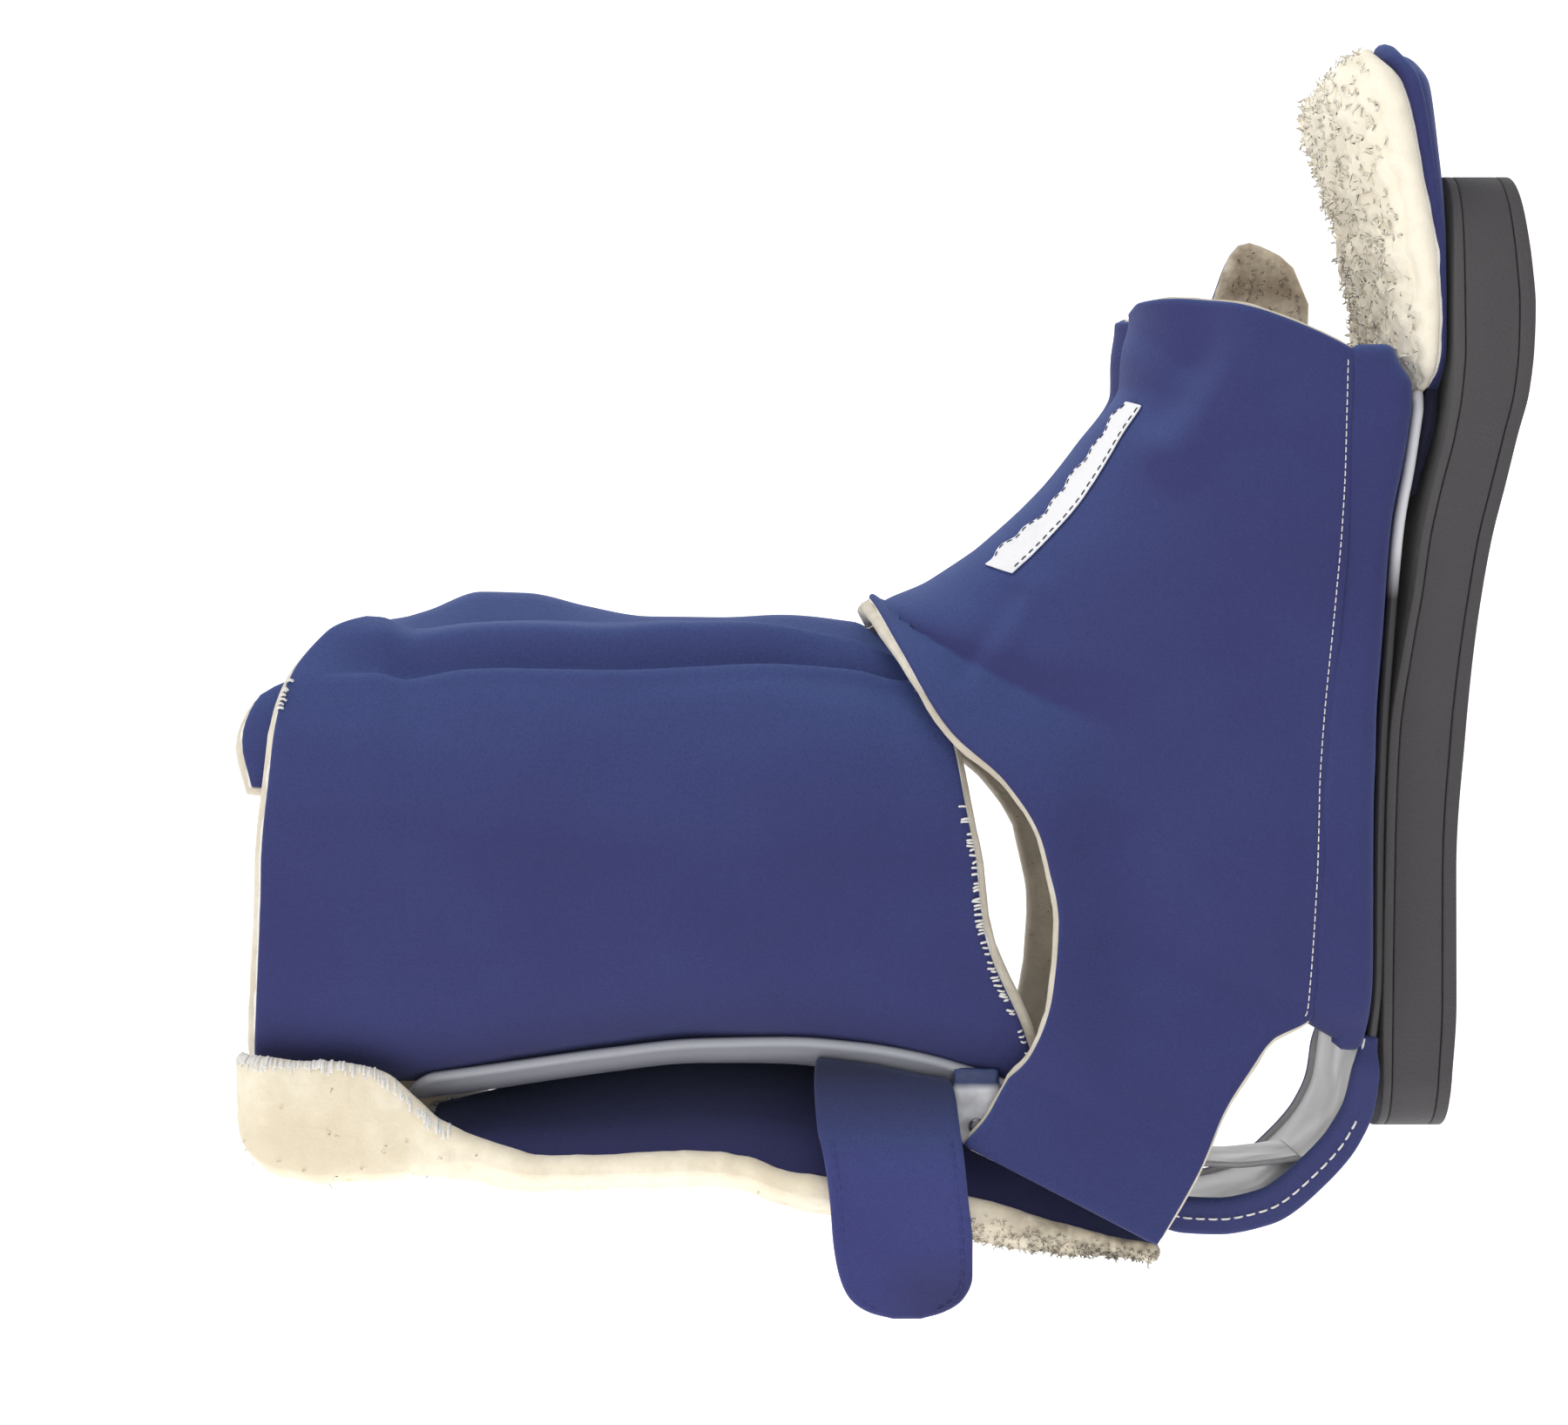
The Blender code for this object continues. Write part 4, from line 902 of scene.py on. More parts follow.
class Paint:
    """A node material, built up from its shader."""

    def __init__(self, name, rough, metallic=0.0, sheen=0.0, tint=(1.0, 1.0, 1.0), sheen_rough=0.5):
        self.made = bpy.data.materials.new(name)
        self.made.use_nodes = True
        self.tree = self.made.node_tree
        self.shader = self.tree.nodes["Principled BSDF"]
        self.shader.inputs["Roughness"].default_value = rough
        self.shader.inputs["Metallic"].default_value = metallic
        self.shader.inputs["Sheen Weight"].default_value = sheen
        self.shader.inputs["Sheen Tint"].default_value = (*tint, 1.0)
        self.shader.inputs["Sheen Roughness"].default_value = sheen_rough
        self.place = self.node("ShaderNodeTexCoord").outputs["Object"]
        self.last_bump = None

    def node(self, kind, **values):
        made = self.tree.nodes.new(kind)
        for key, value in values.items():
            setattr(made, key, value)
        return made

    def link(self, source, target):
        self.tree.links.new(source, target)

    def noise(self, scale, detail=2.0, rough=0.5, stretch=None):
        made = self.node("ShaderNodeTexNoise")
        made.inputs["Scale"].default_value = scale
        made.inputs["Detail"].default_value = detail
        made.inputs["Roughness"].default_value = rough
        place = self.place
        if stretch:
            mapping = self.node("ShaderNodeMapping")
            mapping.inputs["Scale"].default_value = stretch
            self.link(place, mapping.inputs["Vector"])
            place = mapping.outputs["Vector"]
        self.link(place, made.inputs["Vector"])
        return made.outputs["Fac"]

    def cells(self, scale, feature="F1"):
        made = self.node("ShaderNodeTexVoronoi", feature=feature)
        made.inputs["Scale"].default_value = scale
        self.link(self.place, made.inputs["Vector"])
        return made.outputs["Distance"]

    def axis(self, which):
        made = self.node("ShaderNodeSeparateXYZ")
        self.link(self.place, made.inputs["Vector"])
        return made.outputs[which]

    def facing(self, which):
        geometry = self.node("ShaderNodeNewGeometry")
        made = self.node("ShaderNodeSeparateXYZ")
        self.link(geometry.outputs["Normal"], made.inputs["Vector"])
        return made.outputs[which]

    def within(self, *slopes):
        """1 where every slope along X, Y or Z has been climbed, and 0 before it starts."""
        total = None
        for which, start, end in slopes:
            share = self.remap(self.axis(which), start, end)
            total = self.times(total, share) if total else share
        return total

    def remap(self, source, low, high, to_low=0.0, to_high=1.0):
        made = self.node("ShaderNodeMapRange")
        made.inputs["From Min"].default_value = low
        made.inputs["From Max"].default_value = high
        made.inputs["To Min"].default_value = to_low
        made.inputs["To Max"].default_value = to_high
        self.link(source, made.inputs["Value"])
        return made.outputs["Result"]

    def times(self, first, second):
        made = self.node("ShaderNodeMath", operation="MULTIPLY")
        self.link(first, made.inputs[0])
        self.link(second, made.inputs[1])
        return made.outputs["Value"]

    def mix(self, share, first, second):
        """Two colours or links, by a link that runs from 0 to 1."""
        made = self.node("ShaderNodeMix", data_type="RGBA")
        self.link(share, made.inputs["Factor"])
        for value, socket in ((first, made.inputs[6]), (second, made.inputs[7])):
            if isinstance(value, tuple):
                socket.default_value = (*value, 1.0)
            else:
                self.link(value, socket)
        return made.outputs[2]

    def colour(self, source):
        self.link(source, self.shader.inputs["Base Color"])

    def rough(self, source):
        self.link(source, self.shader.inputs["Roughness"])

    def bump(self, source, distance, strength=1.0):
        made = self.node("ShaderNodeBump")
        made.inputs["Strength"].default_value = strength
        made.inputs["Distance"].default_value = distance
        self.link(source, made.inputs["Height"])
        if self.last_bump:
            self.link(self.last_bump, made.inputs["Normal"])
        self.last_bump = made.outputs["Normal"]
        self.link(self.last_bump, self.shader.inputs["Normal"])


def navy_paint(name, base, upper, under, sheen=0.25, change=None):
    """Brushed loop fabric laminated to foam: matt, with painted light that makes it lighter where it faces up and
    painted shade that makes it darker where it faces down.
    """
    paint = Paint(name, 0.86, sheen=sheen, tint=(0.45, 0.58, 1.0), sheen_rough=0.45)
    up = paint.facing("Z")
    # painted light and shade: up-facing faces take the lighter upper colour, down-facing faces the darker under colour
    body = paint.mix(paint.remap(up, 0.05, 0.80), base, upper)
    body = paint.mix(paint.remap(up, -0.15, -0.9), body, under)
    cloud = paint.noise(16.0, 3.0)
    body = paint.mix(paint.remap(cloud, 0.35, 0.75, 0.0, 0.22), body, upper)
    nap = paint.noise(1500.0, 2.0)
    dark = tuple(0.62 * part for part in base)
    body = paint.mix(paint.remap(nap, 0.40, 0.72, 0.0, 0.40), body, dark)
    if change:
        body = change(paint, body)
    paint.colour(body)
    paint.bump(paint.noise(260.0, 2.0), 0.00025, 0.5)
    paint.bump(nap, 0.00022, 0.9)
    paint.bump(paint.cells(1900.0), 0.00012, 0.6)
    return paint


def fleece_paint(name, light, shade, brown=None, where=(), relief=True):
    """Cream pile with painted shade between its locks, and brownish spots in the given zones: soiled on the calf fold,
    painted shade at the top of the lining.
    """
    paint = Paint(name, 0.95, sheen=0.35, tint=(1.0, 0.96, 0.88), sheen_rough=0.6)
    lumps = paint.noise(190.0, 3.0, 0.6)
    # painted shade: the low places between the lumps are darker
    body = paint.mix(paint.remap(lumps, 0.30, 0.60, 0.45, 1.0), shade, light)
    patches = paint.noise(32.0, 3.0)
    body = paint.mix(paint.remap(patches, 0.44, 0.70, 0.0, 0.8), body, shade)
    if brown:
        spots = paint.remap(paint.noise(90.0, 3.0, 0.7), 0.36, 0.56, 0.35, 1.0)
        body = paint.mix(paint.times(paint.within(*where), spots), body, brown)
    paint.colour(body)
    if relief:
        paint.bump(lumps, 0.0006, 0.6)
        paint.bump(paint.noise(900.0, 3.0, 0.7), 0.0003, 0.8)
    return paint


def plastic_paint(name, light, dull, *zones):
    """Satin moulded plastic with faint scuffs, and given colours in zones along it, which the callers use for painted
    shade and for other colours.
    """
    paint = Paint(name, 0.34)
    marks = paint.noise(24.0, 5.0, 0.65, (1.0, 1.0, 3.0))
    body = paint.mix(paint.remap(marks, 0.45, 0.75, 0.0, 0.6), light, dull)
    for colour, slopes in zones:
        body = paint.mix(paint.within(*slopes), body, colour)
    paint.colour(body)
    paint.rough(paint.remap(paint.noise(70.0, 4.0), 0.3, 0.7, 0.28, 0.46))
    paint.bump(paint.noise(900.0, 2.0), 0.00005, 0.5)
    return paint


def rubber_paint(name, base, worn):
    """Foamed rubber with a fine grain, paler where it has rubbed."""
    paint = Paint(name, 0.8, sheen=0.12, sheen_rough=0.4)
    clouds = paint.noise(20.0, 5.0, 0.6, (2.0, 1.0, 0.6))
    body = paint.mix(paint.remap(clouds, 0.42, 0.75, 0.0, 0.55), base, worn)
    pits = paint.cells(1100.0)
    body = paint.mix(paint.remap(pits, 0.0, 0.25, 0.35, 0.0), body, tuple(0.5 * part for part in base))
    paint.colour(body)
    paint.rough(paint.remap(clouds, 0.3, 0.7, 0.72, 0.9))
    paint.bump(pits, 0.00018, 0.7)
    paint.bump(paint.noise(520.0, 3.0), 0.00016, 0.6)
    return paint


def thread_paint(name, light, shade):
    paint = Paint(name, 0.6, sheen=0.25)
    twist = paint.noise(1400.0, 2.0, 0.5, (1.0, 1.0, 2.5))
    paint.colour(paint.mix(paint.remap(twist, 0.35, 0.65), shade, light))
    paint.bump(twist, 0.00012, 0.8)
    return paint


def label_paint(name, light, shade):
    """A bare woven tape: fine ribs, faint rubbing."""
    paint = Paint(name, 0.55, sheen=0.1)
    ribs = paint.noise(1600.0, 1.0, 0.5, (1.0, 1.0, 0.15))
    body = paint.mix(paint.remap(paint.noise(60.0, 4.0, 0.7), 0.5, 0.8, 0.0, 0.5), light, shade)
    paint.colour(body)
    paint.bump(ribs, 0.0001, 0.6)
    paint.bump(paint.noise(150.0, 3.0), 0.0004, 0.4)
    return paint


def steel_paint(name):
    paint = Paint(name, 0.35, metallic=0.85)
    brushed = paint.noise(300.0, 3.0, 0.6, (1.0, 1.0, 8.0))
    paint.colour(paint.mix(brushed, (0.10, 0.10, 0.11), (0.30, 0.30, 0.32)))
    paint.bump(brushed, 0.00003, 0.5)
    return paint


def white_inside(paint, body):
    """The band's walls are white on the side that faces the heel."""
    inward = paint.remap(paint.times(paint.axis("Y"), paint.facing("Y")), -0.012, -0.030)
    return paint.mix(inward, body, (0.70, 0.70, 0.73))


def shaded_root(paint, body):
    """The strap has painted shadow where it comes out from under the band, and is darker at its tip."""
    body = paint.mix(paint.within(("Z", -0.082, -0.056)), body, (0.012, 0.013, 0.045))
    tip = paint.within(("Z", -0.106, -0.118), ("X", -0.078, -0.064))
    return paint.mix(tip, body, (0.030, 0.031, 0.125))


def shaded_fold(paint, body):
    """The fold's inner face has painted shadow, almost black, close under the band."""
    return paint.mix(paint.within(("Z", -0.078, -0.060)), body, (0.018, 0.018, 0.050))


def make_paints():
    # upper is the navy's painted top light and under its painted underside shade
    base, upper, under = (0.028, 0.031, 0.140), (0.044, 0.078, 0.250), (0.023, 0.020, 0.090)
    cream, shade = (0.90, 0.82, 0.66), (0.74, 0.64, 0.46)
    brown = (0.22, 0.18, 0.13)
    heel_end = [("X", -0.050, -0.020)]
    # painted shade: the frame's edge along the calf is grey, turning white towards the heel
    strip = ((0.36, 0.37, 0.41), [("X", -0.028, -0.048)])
    plate = ((0.040, 0.039, 0.042), [("X", 0.056, 0.060), ("Z", -0.054, -0.047), ("Z", 0.094, 0.080)])
    return {
        "navy": navy_paint("navy_cloth", base, upper, under).made,
        "strap": navy_paint("navy_strap", (0.036, 0.040, 0.180), (0.050, 0.082, 0.25), (0.035, 0.033, 0.14), change=shaded_root).made,
        # the fold's inner face: a darker copy of the navy cloth without the lit top, as painted shade under the frame
        "liner": navy_paint("navy_inner", (0.030, 0.030, 0.125), (0.030, 0.031, 0.125), (0.028, 0.026, 0.110), change=shaded_fold).made,
        "band": navy_paint("navy_heel", (0.034, 0.040, 0.150), (0.034, 0.048, 0.17), (0.028, 0.034, 0.125), change=white_inside).made,
        "fleece": fleece_paint("fleece", cream, shade, brown, heel_end).made,
        "pile": fleece_paint("fleece_curls", (0.98, 0.92, 0.78), cream, brown, heel_end, False).made,
        "toe": fleece_paint("fleece_toe", (0.98, 0.91, 0.76), (0.92, 0.84, 0.67)).made,
        "toe_pile": fleece_paint("fleece_toe_curls", (0.99, 0.95, 0.84), (0.95, 0.88, 0.73), relief=False).made,
        # the lining's brownish top, from Z 0.165 up, is painted shade in the far flap's hollow
        "lining": fleece_paint("fleece_lining", (0.80, 0.74, 0.62), (0.58, 0.51, 0.40), (0.34, 0.27, 0.20), [("Z", 0.165, 0.180)]).made,
        "plastic": plastic_paint("white_plastic_satin", (0.78, 0.78, 0.81), (0.62, 0.63, 0.67), strip, plate).made,
        "clip": plastic_paint("clear_clip", (0.74, 0.75, 0.79), (0.26, 0.27, 0.33), ((0.03, 0.05, 0.15), [("Z", -0.0625, -0.0605)])).made,
        "rubber": rubber_paint("rubber_foam", (0.062, 0.058, 0.062), (0.090, 0.085, 0.088)).made,
        "rubber_top": rubber_paint("rubber_layer", (0.072, 0.068, 0.071), (0.100, 0.095, 0.098)).made,
        "thread": thread_paint("white_thread", (0.90, 0.88, 0.84), (0.70, 0.68, 0.64)).made,
        "edge": thread_paint("cut_edge", (0.94, 0.92, 0.88), (0.78, 0.75, 0.69)).made,
        "label": label_paint("bare_label", (0.90, 0.90, 0.92), (0.70, 0.70, 0.74)).made,
        "steel": steel_paint("dark_steel").made,
    }


def done(made, slot, *nodes):
    if nodes:
        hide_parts(*nodes)
    return made


def edge_trim(line, radius, seed, sides=6):
    """A soft raw edge: a tube whose thickness wanders."""
    line = resample(line, 0.0016)
    wobble = 1.0 + 0.35 * noise(line, 0.004, seed, 2)
    jitter = np.stack([noise(line, 0.005, seed + k) for k in (1, 2, 3)], axis=-1) * radius * 0.5
    return tube(line + jitter, radius * wobble, sides)


def make_leg(paint):
    outer = leg_sheet(0.0, 0.0, 96, 190, 0.0011)
    inner = leg_sheet(-FABRIC, 0.0, 96, 190, 0.0011)
    wrap = piece("leg_wrap_cloth", *shell(outer, inner), paint["navy"])
    done(wrap, "navy_fabric", "leg_wrap")
    top = leg_sheet(-FABRIC - GAP, EDGE, 80, 150, 0.0011)
    under = leg_sheet(-FABRIC - GAP - PILE, EDGE, 80, 150, 0.0011)
    under = offset(under, 0.0005 * noise(under, 0.005, 21, 2))
    lining = piece("leg_lining_fleece", *shell(top, under), paint["lining"])
    done(lining, "cream_fleece", "leg_lining")

    def near_ends(p):
        return np.where((p[..., 0] < -0.225) | (p[..., 0] > -0.085), 1.0, 0.12)

    locks = piece("leg_lining_pile", *curls(under[:, ::-1], 2800, 0.0022, 0.00030, 31, near_ends), paint["lining"], False)
    done(locks, "cream_fleece")
    edges = []
    loops = []
    for row in (0, -1):
        line = leg_sheet(-FABRIC * 0.9, EDGE * 0.6, 96, 190, 0.0011)[row]
        edges.append(edge_trim(line, LOOP, 40 + row))
    face = leg_sheet(0.0, 0.0, 96, 190, 0.0011)
    up = normals(face)
    sign = 1.0 if (up[50, 90] * (face[50, 90] * (0.0, 1.0, 1.0))).sum() > 0 else -1.0
    run = slice(84, 122)
    into = unit(face[-4] - face[-1])
    tufts = leg_sheet(0.0002, EDGE * 0.5, 96, 190, 0.0011)[-1]
    loops += overlock(tufts[run], sign * up[-1][run], into[run], 0.0009, 0.0014, FABRIC, THREAD * 1.2, 5, 0.55)
    tufts = leg_sheet(0.0002, EDGE * 0.6, 96, 190, 0.0011)[0]
    into = unit(face[3] - face[0])
    run = slice(128, 146)
    loops += overlock(tufts[run], sign * up[0][run], into[run], 0.0007, 0.0012, FABRIC, THREAD * 1.5, 6, 0.6)
    trim = piece("leg_wrap_edges", *join(edges), paint["edge"], False)
    done(trim, "cream_fleece")
    sewn = piece("leg_wrap_overlock", *join(loops), paint["thread"], False)
    done(sewn, "cream_fleece")
    return wrap


def make_panels(paint):
    made = {}
    for name, far, columns, inward in (("near", False, 90, 1.0), ("far", True, 110, -1.0)):
        outer = panel_sheet(far, 180, columns)
        crease = creased(outer, 1.0 if not far else 0.35)
        soft = 0.0007 * noise(outer, 0.040, 8 if far else 9, 2)
        lift = -inward * (crease + soft)
        fabric_out = offset(outer, lift)
        fabric_in = offset(outer, lift + inward * FABRIC)
        cloth = piece("foot_cloth_" + name, *shell(fabric_out, fabric_in), paint["navy"])
        done(cloth, "navy_fabric", "foot_wrap_" + name)
        coarse = slice(None, None, 2)
        pile_out = offset(outer, lift + inward * (FABRIC + GAP))[coarse, coarse]
        pile_in = offset(outer, lift + inward * (FABRIC + GAP + PILE))[coarse, coarse]
        pile_in = offset(pile_in, 0.0005 * noise(pile_in, 0.005, 22, 2))
        fleece = piece("foot_fleece_" + name, *shell(pile_out, pile_in), paint["lining"])
        done(fleece, "cream_fleece", "foot_lining_" + name)

        def near_top(p):
            return np.where(p[..., 2] > 0.125, 1.0, 0.10)

        facing = pile_in if inward > 0 else pile_in[:, ::-1]
        locks = piece("foot_pile_" + name, *curls(facing, 1500, 0.0022, 0.00030, 33, near_top), paint["lining"], False)
        done(locks, "cream_fleece")
        middle = offset(outer, lift + inward * FABRIC * 0.95)
        edges = [edge_trim(middle[0], LOOP, 50)]
        edges.append(edge_trim(middle[:, -1], LOOP * 0.9, 51))
        edges.append(edge_trim(middle[-1], LOOP * 0.8, 52))
        low = int(180 * 12 / 17)
        edges.append(edge_trim(middle[low:, 0], LOOP * 0.8, 53))
        trim = piece("foot_edges_" + name, *join(edges), paint["edge"], False)
        done(trim, "cream_fleece")
        up = -inward * normals(outer)
        seam = slice(2, low + 2)
        face = offset(outer, lift - inward * THREAD * 0.2)
        run = face[seam, 0] * 0.75 + face[seam, 2] * 0.25
        loops = stitches(run, up[seam, 1], 0.0015, 0.0008, THREAD * 0.62)
        sewn = piece("foot_stitches_" + name, *join(loops), paint["thread"], False)
        done(sewn, "cream_fleece")
        made[name] = (outer, lift)
    return made


def make_label(paint):
    place, across = mesh_of(spread(*LABEL_ROWS, 80), spread(0.0, 1.0, 16))
    low = np.interp(place, LABEL_ROWS, (0.745, 0.700))
    high = np.interp(place, LABEL_ROWS, (0.850, 0.830))
    ragged = 0.020 * np.sin(place * 9.0) * np.sin(place * 3.7 + 1.0) * across
    face = panel_surface(place, low + (high - low) * across + ragged, False)
    lift = -creased(face, 1.0) - 0.0007 * noise(face, 0.040, 9, 2)
    crumple = 0.0006 * np.abs(noise(face, 0.008, 61, 2)) * (0.3 + across)
    base = offset(face, lift - LABEL_LIFT * 0.3 - crumple)
    top = offset(face, lift - LABEL_LIFT * 0.3 - LABEL_THICK - crumple)
    made = piece("label_tape", *shell(top, base), paint["label"])
    done(made, "label_white", "label")
    up = -normals(top)
    parts = []
    for line, ups in ((top[1:-1, 1], up[1:-1, 1]), (top[1:-1, -2], up[1:-1, -2])):
        parts += stitches(line, ups, 0.0018, 0.0011, THREAD * 0.7)
    parts.append(edge_trim(base[:, -1], LOOP * 0.5, 54))
    sewn = piece("label_stitches", *join(parts), paint["liner"], False)
    done(sewn, "label_white")


def arc(centre, radius, start, end, count):
    angle = np.radians(spread(start, end, count))
    return np.stack([centre[0] + radius * np.cos(angle), centre[1] + radius * np.sin(angle)], axis=-1)


def make_sole_cover(paint):
    outer = []
    inner = []
    for place in spread(0, len(COVER_ROWS) - 1, 120):
        z_share = float(row_at(COVER_ROWS, "z", place))
        z = float(side_z(z_share))
        seam_x = float(side_x(row_at(COVER_ROWS, "seam", place))) + GAP
        half = float(row_at(COVER_ROWS, "half", place)) * HALF
        toe_front = float(read(TOE_ROWS, "z", "front", z_share)) * FOOT
        back = min(float(plate_x(z)) - GAP - GAP, toe_front - SEAT)
        wall = COVER_WALL
        front = min(seam_x, back - COVER_BASE - EDGE)
        side_run = spread(front, back - wall, 8)[:-1]
        sides = np.stack([side_run, np.full(7, half)], axis=-1)
        corner = arc((back - wall, half - wall), wall, 90.0, 0.0, 9)
        flat = np.stack([np.full(10, back), spread(half - wall, 0.0, 11)[1:]], axis=-1)
        out_run = np.concatenate([sides, corner, flat])
        bed = half - wall
        rest = back - COVER_BASE
        small = EDGE * COVER_INNER
        sides = np.stack([spread(front, rest - small, 8)[:-1], np.full(7, bed)], axis=-1)
        corner = arc((rest - small, bed - small), small, 90.0, 0.0, 9)
        flat = np.stack([np.full(10, rest), spread(bed - small, 0.0, 11)[1:]], axis=-1)
        in_run = np.concatenate([sides, corner, flat])
        for run, rows in ((out_run, outer), (in_run, inner)):
            near = run * (1.0, -1.0)
            whole = np.concatenate([near, run[-2::-1]])
            rows.append(np.stack([whole[:, 0], whole[:, 1], np.full(len(whole), z)], axis=-1))
    outer = np.array(outer)
    inner = np.array(inner)
    pull = 0.0005 * noise(outer, 0.030, 12, 2)
    outer = offset(outer, pull - 0.0004)
    made = piece("foot_cover", *shell(outer, inner, 4), paint["navy"])
    done(made, "navy_fabric", "sole_cover")
    edges = [edge_trim((outer[0] * 0.55 + inner[0] * 0.45) + (0.0, 0.0, 0.0004), LOOP * 0.8, 57)]
    trim = piece("foot_cover_edge", *join(edges), paint["edge"], False)
    done(trim, "cream_fleece")


def make_heel_cover(paint):
    place = spread(HEEL_ROWS[0].place, HEEL_ROWS[-1].place + HEEL_TAIL, 120)
    x, z, half, _, out_x, out_z = frame_line(place, 0.0)
    bed = half + GAP
    rest = PLATE + GAP
    tail = ease((place - HEEL_ROWS[-1].place + 0.3) / (HEEL_TAIL + 0.3))
    wide = bed + HEEL_WALL * (1.0 - 0.5 * tail)
    back = rest + FABRIC * (1.0 - 0.95 * tail)
    near = rest + FABRIC - read(HEEL_ROWS, "place", "near", place)
    far = rest + FABRIC - read(HEEL_ROWS, "place", "far", place)
    bend = np.radians(spread(90.0, 0.0, 6))
    outer = []
    inner = []
    for k in range(len(place)):
        soft = min(0.0014, (back[k] - near[k]) * 0.4)
        for radius, edge, end, rows in ((soft, wide[k], back[k], outer), (GAP, bed[k], rest - GAP * tail[k], inner)):
            corner = np.stack([end - radius + radius * np.cos(bend), edge - radius + radius * np.sin(bend)], axis=-1)
            flat = np.stack([np.full(8, end), spread(edge - radius, 0.0, 9)[1:]], axis=-1)
            both = []
            for lip in (near[k], far[k]):
                wall = np.stack([spread(lip, end - radius, 7)[:-1], np.full(6, edge)], axis=-1)
                both.append(np.concatenate([wall, corner, flat]))
            whole = np.concatenate([both[0] * (1.0, -1.0), both[1][-2::-1]])
            rows.append(np.stack([x[k] + out_x[k] * whole[:, 0], whole[:, 1], z[k] + out_z[k] * whole[:, 0]], axis=-1))
    outer = np.array(outer)
    inner = np.array(inner)
    made = piece("heel_band", *shell(outer, inner, 4), paint["band"])
    done(made, "navy_liner", "heel_cover")
    parts = []
    for sign, lip in ((-1.0, near), (1.0, far)):
        out = (lip + rest + FABRIC) / 2.0 - 0.0004
        line = np.stack([x + out_x * out, sign * (wide + THREAD * 0.2), z + out_z * out], axis=-1)
        up = np.zeros_like(line)
        up[:, 1] = sign
        parts += stitches(line[:-26], up[:-26], 0.0024, 0.0013, THREAD * 1.05)
        welt = np.stack([x + out_x * (lip - 0.0002), sign * (bed + HEEL_WALL * 0.5), z + out_z * (lip - 0.0002)], axis=-1)
        parts.append(tube(resample(welt, 0.002), 0.0004, 6))
    sewn = piece("heel_band_stitches", *join(parts), paint["thread"], False)
    done(sewn, "navy_liner")


def make_frame(paint):
    outer = frame_sheet(PLATE, 220, 41)
    inner = frame_sheet(0.0, 220, 41)
    made = piece("frame_band", *shell(inner, outer, 3), paint["plastic"])
    done(made, "white_plastic", "frame")
    place = spread(0, len(HEEL_STRIP_ROWS) - 1, 60)[:, None]
    x = side_x(row_at(HEEL_STRIP_ROWS, "x", place))
    z = side_z(row_at(HEEL_STRIP_ROWS, "z", place))
    y = spread(-1.0, 1.0, 16)[None, :] * HEEL_STRIP_HALF * HALF
    upper = np.stack([x + 0.0 * y, y + 0.0 * x, z + 0.0 * y], axis=-1)
    lower = upper - (0.0, 0.0, HEEL_STRIP_THICK)
    strip = piece("heel_pad_strip", *shell(upper, lower, 3), paint["plastic"])
    done(strip, "white_plastic", "heel_strip")


def make_fold(paint):
    upper = fold_sheet(150, 44)
    up = normals(upper)
    if up[80, upper.shape[1] // 2, 2] < 0:
        up = -up
    rows = upper.shape[0]
    thick = (FOLD_PILE * row_at(FOLD_ROWS, "pile", spread(0, len(FOLD_ROWS) - 1, rows)))[:, None]
    bump = 0.0006 * noise(upper, 0.010, 14, 2) + 0.00035 * noise(upper, 0.0035, 15, 2)
    lower = upper - up * (thick + bump)[..., None]
    fleece = piece("calf_fleece", *shell(upper, lower, 5), paint["fleece"])
    done(fleece, "cream_fleece", "calf_fold_fleece")

    def on_show(p):
        shaggy = ease((p[..., 0] + 0.075) / 0.030)
        return (0.01 + 0.99 * shaggy) * np.where(p[..., 1] < 0.0, 1.0, 0.4)

    grow = lower if (normals(lower)[80, 50] * (lower - upper)[80, 50]).sum() > 0 else lower[:, ::-1]
    locks = piece("calf_pile", *curls(grow, 3200, 0.0021, 0.00036, 35, on_show), paint["pile"], False)
    done(locks, "cream_fleece")
    first = int(rows * (FOLD_LINER_FROM + 0.3) / (len(FOLD_ROWS) - 1))
    low = upper + up * GAP
    high = upper + up * (GAP + FABRIC)
    crop = slice(4, -4)
    high = high + up * (0.0003 * noise(high, 0.020, 16, 2))[..., None]
    liner = piece("calf_inner", *shell(high[first:, crop], low[first:, crop]), paint["liner"])
    done(liner, "navy_liner", "calf_fold_liner")
    parts = []
    for column, turn in ((4, 1.0), (-5, -1.0)):
        line = high[first:, column]
        into = unit(high[first:, column + int(3 * turn)] - line)
        parts += overlock(line, up[first:, column], into, 0.0022, 0.0012, FABRIC, THREAD * 1.1, 8, 0.85)
    line = high[first, crop]
    into = unit(high[first + 4, crop] - line)
    parts += overlock(line, up[first, crop], into, 0.0024, 0.0018, FABRIC, THREAD * 1.25, 9)
    for column, sign in ((0, 1.0), (-1, -1.0)):
        run = slice(0, first + 10)
        middle = (upper[run, column] + lower[run, column]) / 2.0
        across = lower[run, column] - middle
        size = np.linalg.norm(across, axis=-1, keepdims=True)
        over = unit(upper[run, column] - upper[run, column + int(sign)]) * size
        bound = [middle + np.cos(turn) * over + np.sin(turn) * across for turn in (0.2, 0.7, 1.1, 1.5)]
        rng = np.random.default_rng(10)
        for k in range(0, len(middle) - 1):
            for part in (0.0, 0.5):
                row = [line[k] * (1.0 - part) + line[k + 1] * part for line in bound]
                row = np.array(row) + rng.normal(size=3) * 0.00025
                cut = 3 + int(rng.random() > 0.5)
                parts.append(tube(row[:cut] + unit(across[k]) * 0.0002, THREAD * (1.2 + rng.random()), 5))
    sewn = piece("calf_overlock", *join(parts), paint["thread"], False)
    done(sewn, "cream_fleece")


